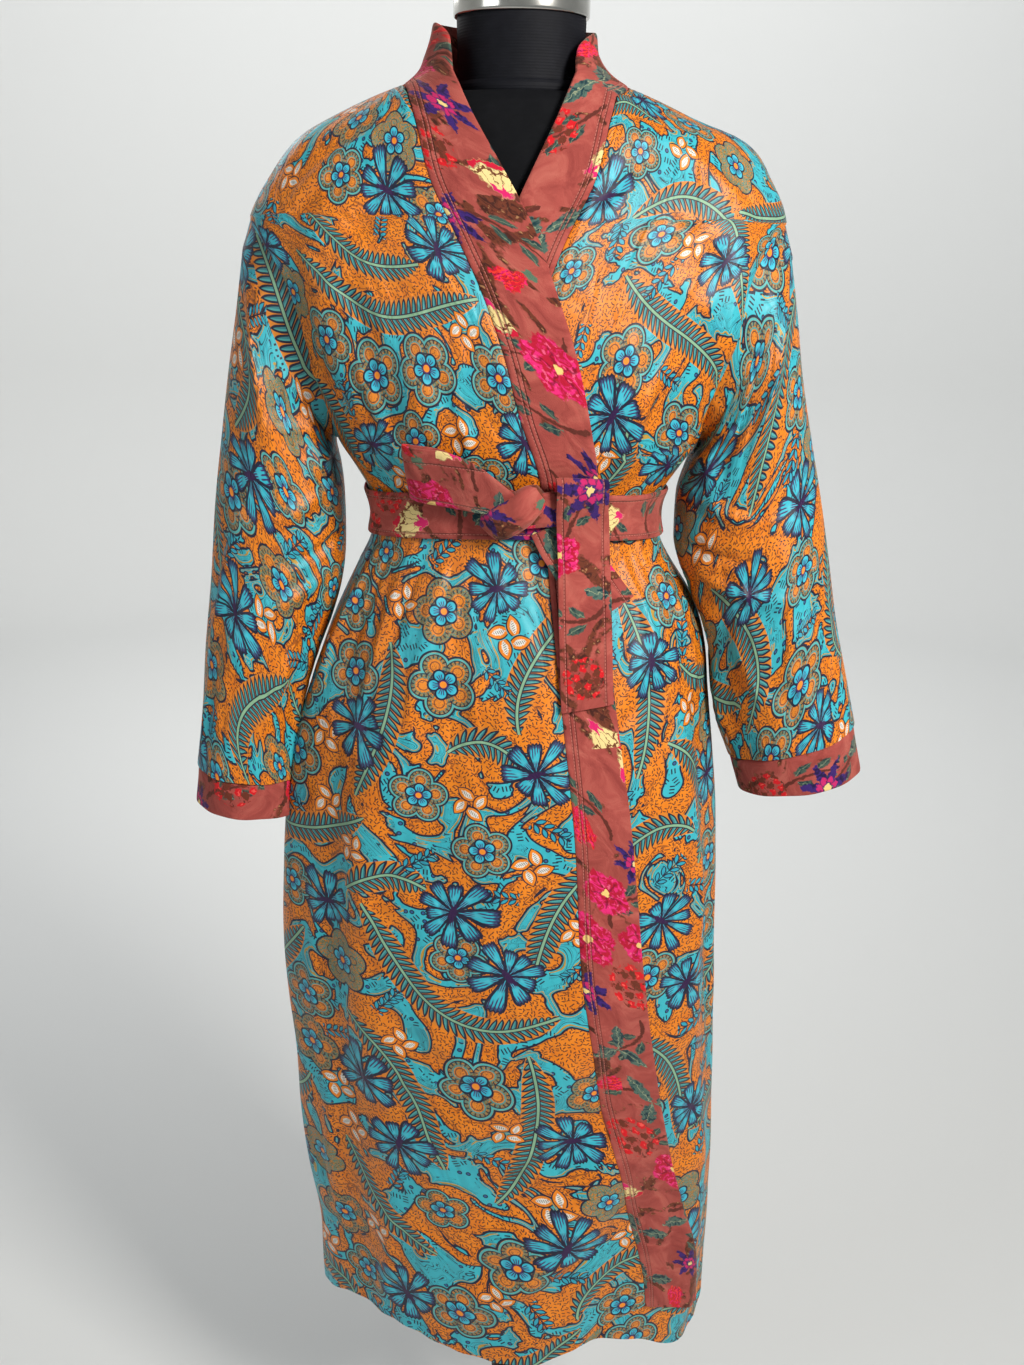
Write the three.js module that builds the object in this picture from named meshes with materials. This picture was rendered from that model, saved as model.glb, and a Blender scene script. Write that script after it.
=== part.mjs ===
// Kimono robe with a tied belt, worn by a limbless dress form on a round stand
import * as THREE from "three";

// Frame: millimetres, +Z up, the robe's front faces -Y, the origin is on the floor under the pole.
// Angles go round the body in degrees: 0 is the side at +X, 90 the back, 180 the side at -X, 270 the front.

// Driving sizes
const HEM = 320;
const HIP = 1090;
const WAIST = 1220;
const UNDERARM = 1284;
const ARM_TOP = 1488;
const SHOULDER_POINT = 1600;
const CLOTH = 2;
const VELVET = 3;
const SEAM = 0.3;
const LAP = 4;
const BELT_WIDTH = 48;
const BELT_OUT = 3.2;
const BELT_FLARE = 0.8;
const SLEEVE_CLEAR = 3.5;
const SLEEVE_CLEAR_TOP = 1.8;
const NECK_RADIUS = 58;
const NECK_TOP = 1658;
const CAP_HEIGHT = 35;
const FORM_BOTTOM = 905;
const FORM_TOP = 1594;
const POLE_RADIUS = 16;
const BASE_RADIUS = 152;
const BASE_HEIGHT = 17;

// Steps of the grids
const SKIRT_STEPS = 13;
const WAIST_STEPS = 9;
const ARM_STEPS = 8;
const SHOULDER_STEPS = 5;
const SHOULDER_SPREAD = 0.8;
const RING_POINTS = 2 * ARM_STEPS;
const SLEEVE_STEPS = 15;
const CUFF_STEPS = [0.35, 0.7, 1];
const STRIP_STEPS = [-0.5, -0.17, 0.17, 0.5];
const KNOT_SIDES = 10;
const HALVINGS = 32;
const TURN_STEP = 0.05;
const HEIGHT_STEP = 0.5;

// Half sizes of the robe at each height; full is how square (+) or pointed (-) the oval is
const BODY = [
  { z: 300, left: 208, right: 228, front: 152, back: 150, full: -0.14 },
  { z: 400, left: 208, right: 229, front: 153, back: 151, full: -0.1 },
  { z: 520, left: 221, right: 228, front: 153, back: 152, full: -0.04 },
  { z: 640, left: 225, right: 223, front: 154, back: 153, full: 0.02 },
  { z: 760, left: 233, right: 218, front: 154, back: 152, full: 0.05 },
  { z: 880, left: 230, right: 213, front: 152, back: 148, full: 0.05 },
  { z: 980, left: 220, right: 204, front: 146, back: 142, full: 0.04 },
  { z: 1040, left: 204, right: 196, front: 139, back: 134, full: 0.03 },
  { z: 1090, left: 186, right: 190, front: 130, back: 126, full: 0.02 },
  { z: 1130, left: 169, right: 176, front: 121, back: 118, full: 0.02 },
  { z: 1165, left: 153, right: 155, front: 112, back: 109, full: 0.02 },
  { z: 1190, left: 141, right: 142, front: 105, back: 103, full: 0.02 },
  { z: 1216, left: 137, right: 138, front: 102, back: 101, full: 0.02 },
  { z: 1242, left: 142, right: 143, front: 105, back: 103, full: 0.02 },
  { z: 1265, left: 155, right: 158, front: 114, back: 108, full: 0.02 },
  { z: 1285, left: 168, right: 172, front: 121, back: 112, full: 0.02 },
  { z: 1320, left: 184, right: 188, front: 128, back: 114, full: 0.02 },
  { z: 1350, left: 200, right: 202, front: 130, back: 115, full: 0.02 },
  { z: 1390, left: 222, right: 222, front: 128, back: 116, full: 0.02 },
  { z: 1440, left: 243, right: 242, front: 121, back: 116, full: 0.02 },
  { z: 1470, left: 249, right: 247, front: 114, back: 114, full: 0.02 },
  { z: 1488, left: 247, right: 246, front: 109, back: 112, full: 0.02 },
  { z: 1522, left: 228, right: 231, front: 98, back: 106, full: 0.02 },
  { z: 1557, left: 198, right: 201, front: 87, back: 96, full: 0.01 },
  { z: 1573, left: 169, right: 160, front: 82, back: 89, full: 0 },
  { z: 1590, left: 131, right: 122, front: 77, back: 82, full: 0 },
  { z: 1600, left: 104, right: 96, front: 74, back: 77, full: 0 },
  { z: 1610, left: 91, right: 80, front: 72, back: 73, full: 0 },
  { z: 1625, left: 84, right: 68, front: 70, back: 70, full: 0 },
  { z: 1640, left: 79, right: 65, front: 68, back: 69, full: 0 },
  { z: 1660, left: 75, right: 63, front: 66, back: 68, full: 0 },
];

// Folds as lines over the body: from an angle and height to another, bowed sideways by bow
const FOLD_RADIUS = 160;
const FOLD_FADE = 0.7;
const FOLDS = [
  { at: 203, z: 1170, toAt: 198, toZ: 200, wide: 40, deep: 6, bow: 12 },
  { at: 221, z: 1130, toAt: 217, toZ: 240, wide: 36, deep: -5, bow: -8 },
  { at: 240, z: 1175, toAt: 236, toZ: 620, wide: 38, deep: 5, bow: 14 },
  { at: 262, z: 1170, toAt: 250, toZ: 860, wide: 34, deep: -4, bow: 0 },
  { at: 300, z: 790, toAt: 228, toZ: 560, wide: 40, deep: 6, bow: -34 },
  { at: 302, z: 690, toAt: 246, toZ: 470, wide: 34, deep: -5, bow: -30 },
  { at: 304, z: 600, toAt: 252, toZ: 372, wide: 40, deep: 6, bow: -26 },
  { at: 274, z: 430, toAt: 282, toZ: 220, wide: 40, deep: 5, bow: 6 },
  { at: 306, z: 520, toAt: 300, toZ: 240, wide: 34, deep: -5, bow: 0 },
  { at: 322, z: 1160, toAt: 330, toZ: 640, wide: 36, deep: 5, bow: 10 },
  { at: 338, z: 1080, toAt: 342, toZ: 520, wide: 34, deep: -4, bow: 0 },
  { at: 333, z: 640, toAt: 326, toZ: 200, wide: 38, deep: 6, bow: -8 },
  { at: 232, z: 1530, toAt: 222, toZ: 1262, wide: 30, deep: 5, bow: 8 },
  { at: 250, z: 1400, toAt: 238, toZ: 1255, wide: 24, deep: 4, bow: 0 },
  { at: 316, z: 1530, toAt: 326, toZ: 1262, wide: 30, deep: 5, bow: -8 },
  { at: 296, z: 1400, toAt: 308, toZ: 1255, wide: 24, deep: 4, bow: 0 },
  { at: 318, z: 1440, toAt: 338, toZ: 1360, wide: 26, deep: 4, bow: 10 },
  { at: 20, z: 1150, toAt: 16, toZ: 200, wide: 38, deep: 5, bow: 8 },
  { at: 42, z: 1170, toAt: 40, toZ: 240, wide: 36, deep: -5, bow: -8 },
  { at: 66, z: 1170, toAt: 60, toZ: 200, wide: 42, deep: 6, bow: 10 },
  { at: 92, z: 1165, toAt: 96, toZ: 340, wide: 36, deep: -5, bow: -6 },
  { at: 116, z: 1170, toAt: 122, toZ: 200, wide: 42, deep: 6, bow: 8 },
  { at: 140, z: 1150, toAt: 144, toZ: 420, wide: 34, deep: -5, bow: 0 },
  { at: 160, z: 1120, toAt: 164, toZ: 200, wide: 36, deep: 5, bow: -6 },
  { at: 60, z: 1500, toAt: 52, toZ: 1262, wide: 32, deep: 5, bow: 6 },
  { at: 90, z: 1420, toAt: 88, toZ: 1258, wide: 28, deep: 4, bow: 0 },
  { at: 120, z: 1500, toAt: 130, toZ: 1262, wide: 32, deep: 5, bow: -6 },
];

// Height of the hem above HEM at each angle, of the top front and of the layer under it
const HEM_LINE = [
  { at: 0, top: 2, under: 2 },
  { at: 90, top: -4, under: -4 },
  { at: 180, top: 2, under: 2 },
  { at: 200, top: 13, under: 19 },
  { at: 220, top: 26, under: 32 },
  { at: 240, top: 21, under: 28 },
  { at: 262, top: 7, under: 14 },
  { at: 284, top: 5, under: 9 },
  { at: 300, top: 22, under: 4 },
  { at: 314, top: 34, under: -14 },
  { at: 330, top: 6, under: -42 },
  { at: 346, top: -12, under: -34 },
  { at: 360, top: 2, under: 2 },
];
const HEM_FADE = 260;

// Angles between which the top front rises over the under one and comes down again under the belt
const LAP_RISE = { from: 184, to: 206 };
const BELT_FALL = { from: 312, to: 338 };

// Heights between which the top front comes closer to the form, and how much of the lap goes
const LAP_THIN = { from: 1530, to: 1585, share: 0.6 };

// Where the front bands lie: x of the seam and of the free edge, of the top front and of the under one
const FRONTS = [
  { z: 290, topSeam: 152, topEdge: 219, underSeam: -106, underEdge: -160 },
  { z: 380, topSeam: 144, topEdge: 204, underSeam: -104, underEdge: -158 },
  { z: 463, topSeam: 130, topEdge: 186, underSeam: -100, underEdge: -154 },
  { z: 542, topSeam: 114, topEdge: 170, underSeam: -92, underEdge: -147 },
  { z: 642, topSeam: 92, topEdge: 151, underSeam: -80, underEdge: -136 },
  { z: 758, topSeam: 72, topEdge: 133, underSeam: -66, underEdge: -124 },
  { z: 938, topSeam: 58, topEdge: 112, underSeam: -54, underEdge: -108 },
  { z: 1063, topSeam: 43, topEdge: 93, underSeam: -42, underEdge: -94 },
  { z: 1214, topSeam: 26, topEdge: 78, underSeam: -26, underEdge: -78 },
  { z: 1270, topSeam: 20, topEdge: 72, underSeam: -18, underEdge: -70 },
  { z: 1320, topSeam: 3, topEdge: 63, underSeam: -6, underEdge: -62 },
  { z: 1375, topSeam: -12, topEdge: 50, underSeam: 8, underEdge: -50 },
  { z: 1428, topSeam: -32, topEdge: 32, underSeam: 24, underEdge: -34 },
  { z: 1473, topSeam: -54, topEdge: 15, underSeam: 42, underEdge: -14 },
  { z: 1517, topSeam: -76, topEdge: -9, underSeam: 64, underEdge: 6 },
  { z: 1566, topSeam: -90, topEdge: -42, underSeam: 77, underEdge: 33 },
  { z: 1589, topSeam: -98, topEdge: -58, underSeam: 83, underEdge: 47 },
];
const BAND_TOP = 1589;

// How much higher the free edge of a band lies than its seam
const BAND_RISE = [
  { z: 1480, rise: 0 },
  { z: 1530, rise: 2 },
  { z: 1566, rise: 9 },
  { z: 1589, rise: 20 },
];

// The band round the neck: angle and height of its seam and of its free edge
const NECK_BAND = [
  { seam: 213, seamZ: 1594, edge: 225, edgeZ: 1626 },
  { seam: 190, seamZ: 1600, edge: 217, edgeZ: 1641 },
  { seam: 168, seamZ: 1602, edge: 198, edgeZ: 1651 },
  { seam: 145, seamZ: 1603, edge: 165, edgeZ: 1655 },
  { seam: 118, seamZ: 1604, edge: 128, edgeZ: 1656 },
  { seam: 90, seamZ: 1604, edge: 90, edgeZ: 1656 },
  { seam: 62, seamZ: 1604, edge: 52, edgeZ: 1655 },
  { seam: 35, seamZ: 1603, edge: 15, edgeZ: 1650 },
  { seam: 12, seamZ: 1602, edge: -16, edgeZ: 1644 },
  { seam: -10, seamZ: 1600, edge: -38, edgeZ: 1634 },
  { seam: -34, seamZ: 1594, edge: -50, edgeZ: 1618 },
];
const NECK_SEAM = NECK_BAND.map((row) => ({ at: row.seam, z: row.seamZ })).sort((a, b) => a.at - b.at);
const BACK_RISE_START = 1528;

// Half depth of the armhole in front and behind, at its top and bottom
const ARMHOLE = { frontTop: 80, frontBottom: 52, backTop: 72, backBottom: 56 };

// Sleeve rings: the outer and the inner end of each, its half depth and how far forward it lies
const SLEEVES = {
  right: [
    { along: 0.07, outX: -257, outZ: 1462, inX: -176, inZ: 1286, depth: 66, y: 2 },
    { along: 0.18, outX: -265, outZ: 1408, inX: -175, inZ: 1275, depth: 68, y: 0 },
    { along: 0.29, outX: -275, outZ: 1350, inX: -171, inZ: 1259, depth: 69, y: -2 },
    { along: 0.4, outX: -284, outZ: 1290, inX: -168, inZ: 1235, depth: 66, y: -5 },
    { along: 0.52, outX: -293, outZ: 1225, inX: -167, inZ: 1196, depth: 63, y: -9 },
    { along: 0.65, outX: -300, outZ: 1150, inX: -172, inZ: 1144, depth: 60, y: -14 },
    { along: 0.78, outX: -308, outZ: 1080, inX: -193, inZ: 1074, depth: 58, y: -20 },
    { along: 0.89, outX: -313, outZ: 1018, inX: -206, inZ: 1010, depth: 56, y: -26 },
    { along: 1, outX: -320, outZ: 962, inX: -212, inZ: 950, depth: 54, y: -32 },
  ],
  left: [
    { along: 0.07, outX: 254, outZ: 1460, inX: 178, inZ: 1286, depth: 66, y: 2 },
    { along: 0.18, outX: 263, outZ: 1408, inX: 172, inZ: 1275, depth: 68, y: 0 },
    { along: 0.29, outX: 272, outZ: 1350, inX: 164, inZ: 1259, depth: 69, y: -2 },
    { along: 0.4, outX: 284, outZ: 1293, inX: 157, inZ: 1235, depth: 66, y: -5 },
    { along: 0.52, outX: 297, outZ: 1235, inX: 156, inZ: 1196, depth: 63, y: -9 },
    { along: 0.65, outX: 308, outZ: 1178, inX: 170, inZ: 1146, depth: 60, y: -14 },
    { along: 0.78, outX: 320, outZ: 1112, inX: 189, inZ: 1086, depth: 58, y: -20 },
    { along: 0.89, outX: 332, outZ: 1062, inX: 198, inZ: 1030, depth: 57, y: -25 },
    { along: 1, outX: 344, outZ: 1012, inX: 219, inZ: 975, depth: 56, y: -30 },
  ],
};
const CUFFS = {
  right: { outX: -323, outZ: 921, inX: -213, inZ: 913, depth: 52, y: -35 },
  left: { outX: 354, outZ: 962, inX: 229, inZ: 940, depth: 54, y: -33 },
};
const CUFF_INSET = 1.5;
const CUFF_GAP = 0.9;

// Share of the sleeve's length next to the armhole where it lies closer to the body
const SLEEVE_NEAR = 0.12;

// Folds along the sleeves: round the ring at an angle from the outer end by way of the front
const SLEEVE_FOLDS = [
  { at: 60, from: -0.1, to: 0.5, wide: 26, deep: 5, drift: 20 },
  { at: 110, from: 0.05, to: 0.6, wide: 24, deep: -5, drift: 24 },
  { at: 78, from: 0.5, to: 1.1, wide: 26, deep: 5, drift: -16 },
  { at: 132, from: 0.55, to: 1.1, wide: 24, deep: -4, drift: 10 },
  { at: 250, from: 0, to: 0.7, wide: 28, deep: 5, drift: -20 },
  { at: 292, from: 0.4, to: 1.1, wide: 26, deep: -4, drift: 14 },
];

// Belt parts on the front of the body: place, distance out from the cloth, and width across
const LONG_TAIL = [
  { x: 58, z: 1240, out: 14.2, wide: 45, tilt: 90 },
  { x: 58, z: 1258, out: 15, wide: 46, tilt: 90 },
  { x: 59, z: 1270, out: 17.4, wide: 47, tilt: 91 },
  { x: 59, z: 1275, out: 21, wide: 47, tilt: 92 },
  { x: 60, z: 1271, out: 25, wide: 47, tilt: 91 },
  { x: 60, z: 1256, out: 27, wide: 47, tilt: 90 },
  { x: 61, z: 1228, out: 25, wide: 48, tilt: 89 },
  { x: 63, z: 1187, out: 20.4, wide: 48, tilt: 87 },
  { x: 65, z: 1140, out: 15.4, wide: 49, tilt: 86 },
  { x: 67, z: 1095, out: 11, wide: 49, tilt: 85 },
  { x: 69, z: 1054, out: 9.4, wide: 49, tilt: 84 },
];
const SHORT_TAIL = [
  { x: 30, z: 1222, out: 14.4, wide: 36, tilt: 60 },
  { x: 42, z: 1204, out: 14.4, wide: 43, tilt: 60 },
  { x: 58, z: 1181, out: 13, wide: 46, tilt: 59 },
  { x: 75, z: 1159, out: 11, wide: 47, tilt: 60 },
  { x: 90, z: 1140, out: 9.8, wide: 47, tilt: 64 },
];
const LOOP = [
  { x: -24, z: 1259, out: 14.6, wide: 29, tilt: 6 },
  { x: -45, z: 1267, out: 14.4, wide: 41, tilt: -4 },
  { x: -68, z: 1273, out: 14.2, wide: 48, tilt: -6 },
  { x: -90, z: 1276, out: 14.6, wide: 49, tilt: -7 },
  { x: -98, z: 1277, out: 18, wide: 49, tilt: -7 },
  { x: -90, z: 1276, out: 21.6, wide: 49, tilt: -7 },
  { x: -68, z: 1273, out: 23, wide: 49, tilt: -6 },
  { x: -45, z: 1268, out: 23.6, wide: 43, tilt: -4 },
  { x: -24, z: 1261, out: 24, wide: 32, tilt: 10 },
];
const KNOT = [
  { x: 23, z: 1262, half: 8, thick: 5 },
  { x: 15, z: 1257, half: 14, thick: 9 },
  { x: 4, z: 1247, half: 18, thick: 12 },
  { x: -9, z: 1235, half: 20, thick: 12 },
  { x: -18, z: 1225, half: 18, thick: 10 },
  { x: -25, z: 1217, half: 11, thick: 5 },
];
const KNOT_OUT = 12.5;

// How far the belt's middle rises towards the front
const BELT_RISE = 12;

// Half sizes of the dress form at each height
const FORM = [
  { z: FORM_BOTTOM, side: 160, front: 122, back: 122 },
  { z: 925, side: 170, front: 130, back: 130 },
  { z: 1000, side: 172, front: 126, back: 126 },
  { z: 1060, side: 166, front: 118, back: 116 },
  { z: 1120, side: 150, front: 104, back: 103 },
  { z: 1170, side: 134, front: 94, back: 93 },
  { z: 1214, side: 126, front: 89, back: 88 },
  { z: 1260, side: 134, front: 95, back: 92 },
  { z: 1310, side: 148, front: 108, back: 98 },
  { z: 1360, side: 156, front: 116, back: 101 },
  { z: 1410, side: 160, front: 112, back: 102 },
  { z: 1460, side: 178, front: 103, back: 101 },
  { z: 1505, side: 190, front: 94, back: 96 },
  { z: 1535, side: 188, front: 86, back: 90 },
  { z: 1557, side: 176, front: 79, back: 84 },
  { z: 1573, side: 158, front: 74, back: 78 },
  { z: 1588, side: 119, front: 68, back: 72 },
  { z: FORM_TOP, side: 84, front: 63, back: 66 },
];

// Outlines of the turned pieces: radius and height
const NECK = [
  { radius: 0, z: FORM_TOP + SEAM },
  { radius: NECK_RADIUS + 2, z: FORM_TOP + SEAM },
  { radius: NECK_RADIUS - 1, z: 1615 },
  { radius: NECK_RADIUS, z: NECK_TOP },
  { radius: 0, z: NECK_TOP },
];
const CAP = [
  { radius: 0, z: NECK_TOP + SEAM },
  { radius: NECK_RADIUS + 2, z: NECK_TOP + SEAM },
  { radius: NECK_RADIUS + 3, z: NECK_TOP + 3 },
  { radius: NECK_RADIUS + 3, z: NECK_TOP + 22 },
  { radius: NECK_RADIUS - 1, z: NECK_TOP + 28 },
  { radius: 36, z: NECK_TOP + 33 },
  { radius: 0, z: NECK_TOP + CAP_HEIGHT },
];
const POLE = [
  { radius: 0, z: BASE_HEIGHT + SEAM },
  { radius: POLE_RADIUS, z: BASE_HEIGHT + SEAM },
  { radius: POLE_RADIUS, z: FORM_BOTTOM - SEAM },
  { radius: 0, z: FORM_BOTTOM - SEAM },
];
const BASE = [
  { radius: 0, z: 0 },
  { radius: BASE_RADIUS, z: 0 },
  { radius: BASE_RADIUS, z: 8 },
  { radius: BASE_RADIUS - 6, z: 12 },
  { radius: 60, z: BASE_HEIGHT },
  { radius: 0, z: BASE_HEIGHT },
];

const SATIN = new THREE.MeshStandardMaterial({ color: 0x5f8f6a, roughness: 0.45, metalness: 0 });
const VELVET_PINK = new THREE.MeshStandardMaterial({ color: 0xb5625c, roughness: 0.85, metalness: 0 });
const FORM_CLOTH = new THREE.MeshStandardMaterial({ color: 0x10131c, roughness: 0.7, metalness: 0 });
const CHROME = new THREE.MeshStandardMaterial({ color: 0xc8c8c4, roughness: 0.2, metalness: 1 });
const BLACK_METAL = new THREE.MeshStandardMaterial({ color: 0x18191b, roughness: 0.45, metalness: 0.6 });

const root = new THREE.Group();
const V = (x, y, z) => new THREE.Vector3(x, y, z);
const rad = (degrees) => (degrees * Math.PI) / 180;
const deg = (radians) => (radians * 180) / Math.PI;
const mix = (a, b, s) => a + (b - a) * s;
const clamp = (x) => Math.min(1, Math.max(0, x));
const ease = (a, b, x) => {
  const s = clamp((x - a) / (b - a));
  return s * s * (3 - 2 * s);
};

// Value of a column between the rows of a table, on a smooth curve that doesn't overshoot its rows
function between(rows, key, column, at) {
  const last = rows.length - 1;
  const x = Math.min(rows[last][key], Math.max(rows[0][key], at));
  let i = 0;
  while (i < last - 1 && x > rows[i + 1][key]) i++;
  const slope = (k) => (rows[k + 1][column] - rows[k][column]) / (rows[k + 1][key] - rows[k][key]);
  const tangent = (k) => {
    if (k === 0) return slope(0);
    if (k === last) return slope(last - 1);
    const before = slope(k - 1);
    const after = slope(k);
    if (before * after <= 0) return 0;
    const limit = 3 * Math.min(Math.abs(before), Math.abs(after));
    return Math.max(-limit, Math.min(limit, (before + after) / 2));
  };
  const h = rows[i + 1][key] - rows[i][key];
  const s = (x - rows[i][key]) / h;
  return (
    (1 + 2 * s) * (1 - s) ** 2 * rows[i][column] +
    s * (1 - s) ** 2 * h * tangent(i) +
    s * s * (3 - 2 * s) * rows[i + 1][column] +
    s * s * (s - 1) * h * tangent(i + 1)
  );
}

// Point of the robe's smooth surface at an angle and height, without folds
function section(at, z) {
  const c = Math.cos(rad(at));
  const s = Math.sin(rad(at));
  const side = between(BODY, "z", c > 0 ? "right" : "left", z);
  const depth = between(BODY, "z", s > 0 ? "back" : "front", z);
  const full = between(BODY, "z", "full", z);
  return V(side * c * (1 + full * s * s), depth * s * (1 + full * c * c), z);
}

function outward(at, z) {
  const round = section(at + TURN_STEP, z).sub(section(at - TURN_STEP, z));
  const up = section(at, z + HEIGHT_STEP).sub(section(at, z - HEIGHT_STEP));
  return round.cross(up).normalize();
}

// How far the folds push the cloth out at an angle and height
function foldDepth(at, z) {
  let sum = 0;
  for (const f of FOLDS) {
    const ax = rad(f.toAt - f.at) * FOLD_RADIUS;
    const az = f.toZ - f.z;
    const length = Math.hypot(ax, az);
    const px = rad(at - f.at) * FOLD_RADIUS;
    const pz = z - f.z;
    const s = (px * ax + pz * az) / (length * length);
    if (s <= 0 || s >= 1) continue;
    const off = (px * az - pz * ax) / length - f.bow * 4 * s * (1 - s);
    if (Math.abs(off) >= f.wide) continue;
    const across = Math.cos((Math.PI / 2) * (off / f.wide)) ** 2;
    sum += f.deep * across * Math.sin(Math.PI * s) ** FOLD_FADE;
  }
  return sum;
}

const wholeTurn = (at) => ((at % 360) + 360) % 360;

// Point of the robe's cloth moved out from its inner face
function body(at, z, out) {
  const turn = wholeTurn(at);
  return section(turn, z).addScaledVector(outward(turn, z), foldDepth(turn, z) + out);
}

// Angle on the front of the robe that has this x at this height
function frontAngle(x, z) {
  let low = 180;
  let high = 360;
  for (let i = 0; i < HALVINGS; i++) {
    const middle = (low + high) / 2;
    if (section(middle, z).x < x) low = middle;
    else high = middle;
  }
  return (low + high) / 2;
}

// Angle that stands for a distance along the cloth at an angle and height
function angleOf(distance, at, z) {
  const step = section(at + 0.5, z).distanceTo(section(at - 0.5, z));
  return distance / step;
}

// How much further out the top front lies, over the layer under it
function lap(at, z) {
  const rise = ease(LAP_RISE.from, LAP_RISE.to, at);
  return LAP * rise * (1 - LAP_THIN.share * ease(LAP_THIN.from, LAP_THIN.to, z));
}

// One closed wall from two grids of points, open like a sheet or closed round like a tube
function wall(name, material, outer, inner, closed = false) {
  const rows = outer.length;
  const columns = outer[0].length;
  const points = [...outer.flat(), ...inner.flat()];
  const o = (i, j) => i * columns + (j % columns);
  const n = (i, j) => rows * columns + i * columns + (j % columns);
  const faces = [];
  const quad = (a, b, c, d) => faces.push(a, b, c, a, c, d);
  const spans = closed ? columns : columns - 1;
  for (let i = 0; i < rows - 1; i++) {
    for (let j = 0; j < spans; j++) {
      quad(o(i, j), o(i, j + 1), o(i + 1, j + 1), o(i + 1, j));
      quad(n(i, j), n(i + 1, j), n(i + 1, j + 1), n(i, j + 1));
    }
  }
  for (let j = 0; j < spans; j++) {
    quad(o(0, j), n(0, j), n(0, j + 1), o(0, j + 1));
    quad(o(rows - 1, j), o(rows - 1, j + 1), n(rows - 1, j + 1), n(rows - 1, j));
  }
  if (!closed) {
    for (let i = 0; i < rows - 1; i++) {
      quad(o(i, 0), o(i + 1, 0), n(i + 1, 0), n(i, 0));
      quad(o(i, columns - 1), n(i, columns - 1), n(i + 1, columns - 1), o(i + 1, columns - 1));
    }
  }
  addSolid(name, material, points, faces);
}

// Solid through a stack of closed rings, closed at both ends by a fan
function stack(name, material, rings) {
  const columns = rings[0].length;
  const points = rings.flat();
  const faces = [];
  const p = (i, j) => i * columns + (j % columns);
  for (let i = 0; i < rings.length - 1; i++) {
    for (let j = 0; j < columns; j++) {
      faces.push(p(i, j), p(i, j + 1), p(i + 1, j + 1), p(i, j), p(i + 1, j + 1), p(i + 1, j));
    }
  }
  for (const [i, flip] of [[0, true], [rings.length - 1, false]]) {
    const middle = rings[i].reduce((sum, q) => sum.add(q), V(0, 0, 0)).divideScalar(columns);
    points.push(middle);
    for (let j = 0; j < columns; j++) {
      const edge = flip ? [p(i, j + 1), p(i, j)] : [p(i, j), p(i, j + 1)];
      faces.push(edge[0], edge[1], points.length - 1);
    }
  }
  addSolid(name, material, points, faces);
}

// Mesh from points and faces, turned so that its faces point out
function addSolid(name, material, points, faces) {
  let volume = 0;
  for (let k = 0; k < faces.length; k += 3) {
    const [a, b, c] = [points[faces[k]], points[faces[k + 1]], points[faces[k + 2]]];
    volume += a.dot(b.clone().cross(c));
  }
  if (volume < 0) faces.reverse();
  const geometry = new THREE.BufferGeometry().setFromPoints(points).setIndex(faces);
  geometry.computeVertexNormals();
  const mesh = new THREE.Mesh(geometry, material);
  mesh.name = name;
  root.add(mesh);
}

// Heights of the grid rows of the panels, with the turn round the armhole where they pass it
function panelRows() {
  const rows = [];
  for (let i = 0; i < SKIRT_STEPS; i++) rows.push({ z: mix(HEM, HIP, i / SKIRT_STEPS) });
  for (let i = 0; i < WAIST_STEPS; i++) rows.push({ z: mix(HIP, UNDERARM, i / WAIST_STEPS) });
  for (let i = ARM_STEPS; i >= 0; i--) {
    const arm = (180 * i) / ARM_STEPS;
    rows.push({ z: armZ(arm), arm });
  }
  for (let i = 1; i <= SHOULDER_STEPS; i++) {
    rows.push({ z: mix(ARM_TOP, BAND_TOP, (i / SHOULDER_STEPS) ** SHOULDER_SPREAD) });
  }
  for (const row of NECK_BAND.slice(0, 2)) rows.push({ z: row.seamZ });
  return rows;
}

// Height and depth of the armhole at a turn from its top
function armZ(turn) {
  return (ARM_TOP + UNDERARM) / 2 + ((ARM_TOP - UNDERARM) / 2) * Math.cos(rad(turn));
}

function armY(turn, face) {
  const share = (1 + Math.cos(rad(turn))) / 2;
  return Math.sin(rad(turn)) * mix(ARMHOLE[face + "Bottom"], ARMHOLE[face + "Top"], share);
}

// Angle of a panel's side at a row: the side seam, the armhole or the shoulder seam
function sideAngle(row, face, sign) {
  const depth = between(BODY, "z", face, row.z);
  const turn = row.arm === undefined ? 0 : deg(Math.asin(armY(row.arm, face) / depth));
  const seam = sign > 0 ? 0 : 180;
  const step = turn + angleOf(SEAM / 2, seam, row.z);
  const back = face === "back" ? 1 : -1;
  return (sign > 0 ? (face === "back" ? 0 : 360) : 180) + sign * back * step;
}

function hemLift(at, z, layer) {
  return between(HEM_LINE, "at", layer, wholeTurn(at)) * (1 - ease(HEM, HEM + HEM_FADE, z));
}

// Angle of the seam between a front and its band at a height, which turns round the neck at the top
function bandSeam(z, layer) {
  if (z <= BAND_TOP) return frontAngle(between(FRONTS, "z", layer + "Seam", z), z);
  const turned = layer === "top" ? NECK_BAND.slice(0, 2) : NECK_BAND.slice(-2);
  const row = turned.find((r) => r.seamZ === z);
  return layer === "top" ? row.seam : row.seam + 360;
}

function outOf(layer, at, z) {
  return layer === "top" ? lap(at, z) : 0;
}

// Panels
function front(name, layer, sign, columns) {
  const outer = [];
  const inner = [];
  for (const row of panelRows()) {
    const side = sideAngle(row, "front", sign);
    const seam = bandSeam(row.z, layer);
    const centre = seam + sign * angleOf(SEAM / 2, seam, row.z);
    const one = [];
    const two = [];
    for (let j = 0; j <= columns; j++) {
      const at = mix(side, centre, j / columns);
      const z = row.z + hemLift(at, row.z, layer);
      one.push(body(at, z, outOf(layer, at, z) + CLOTH));
      two.push(body(at, z, outOf(layer, at, z)));
    }
    outer.push(one);
    inner.push(two);
  }
  wall(name, SATIN, outer, inner);
}

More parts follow.
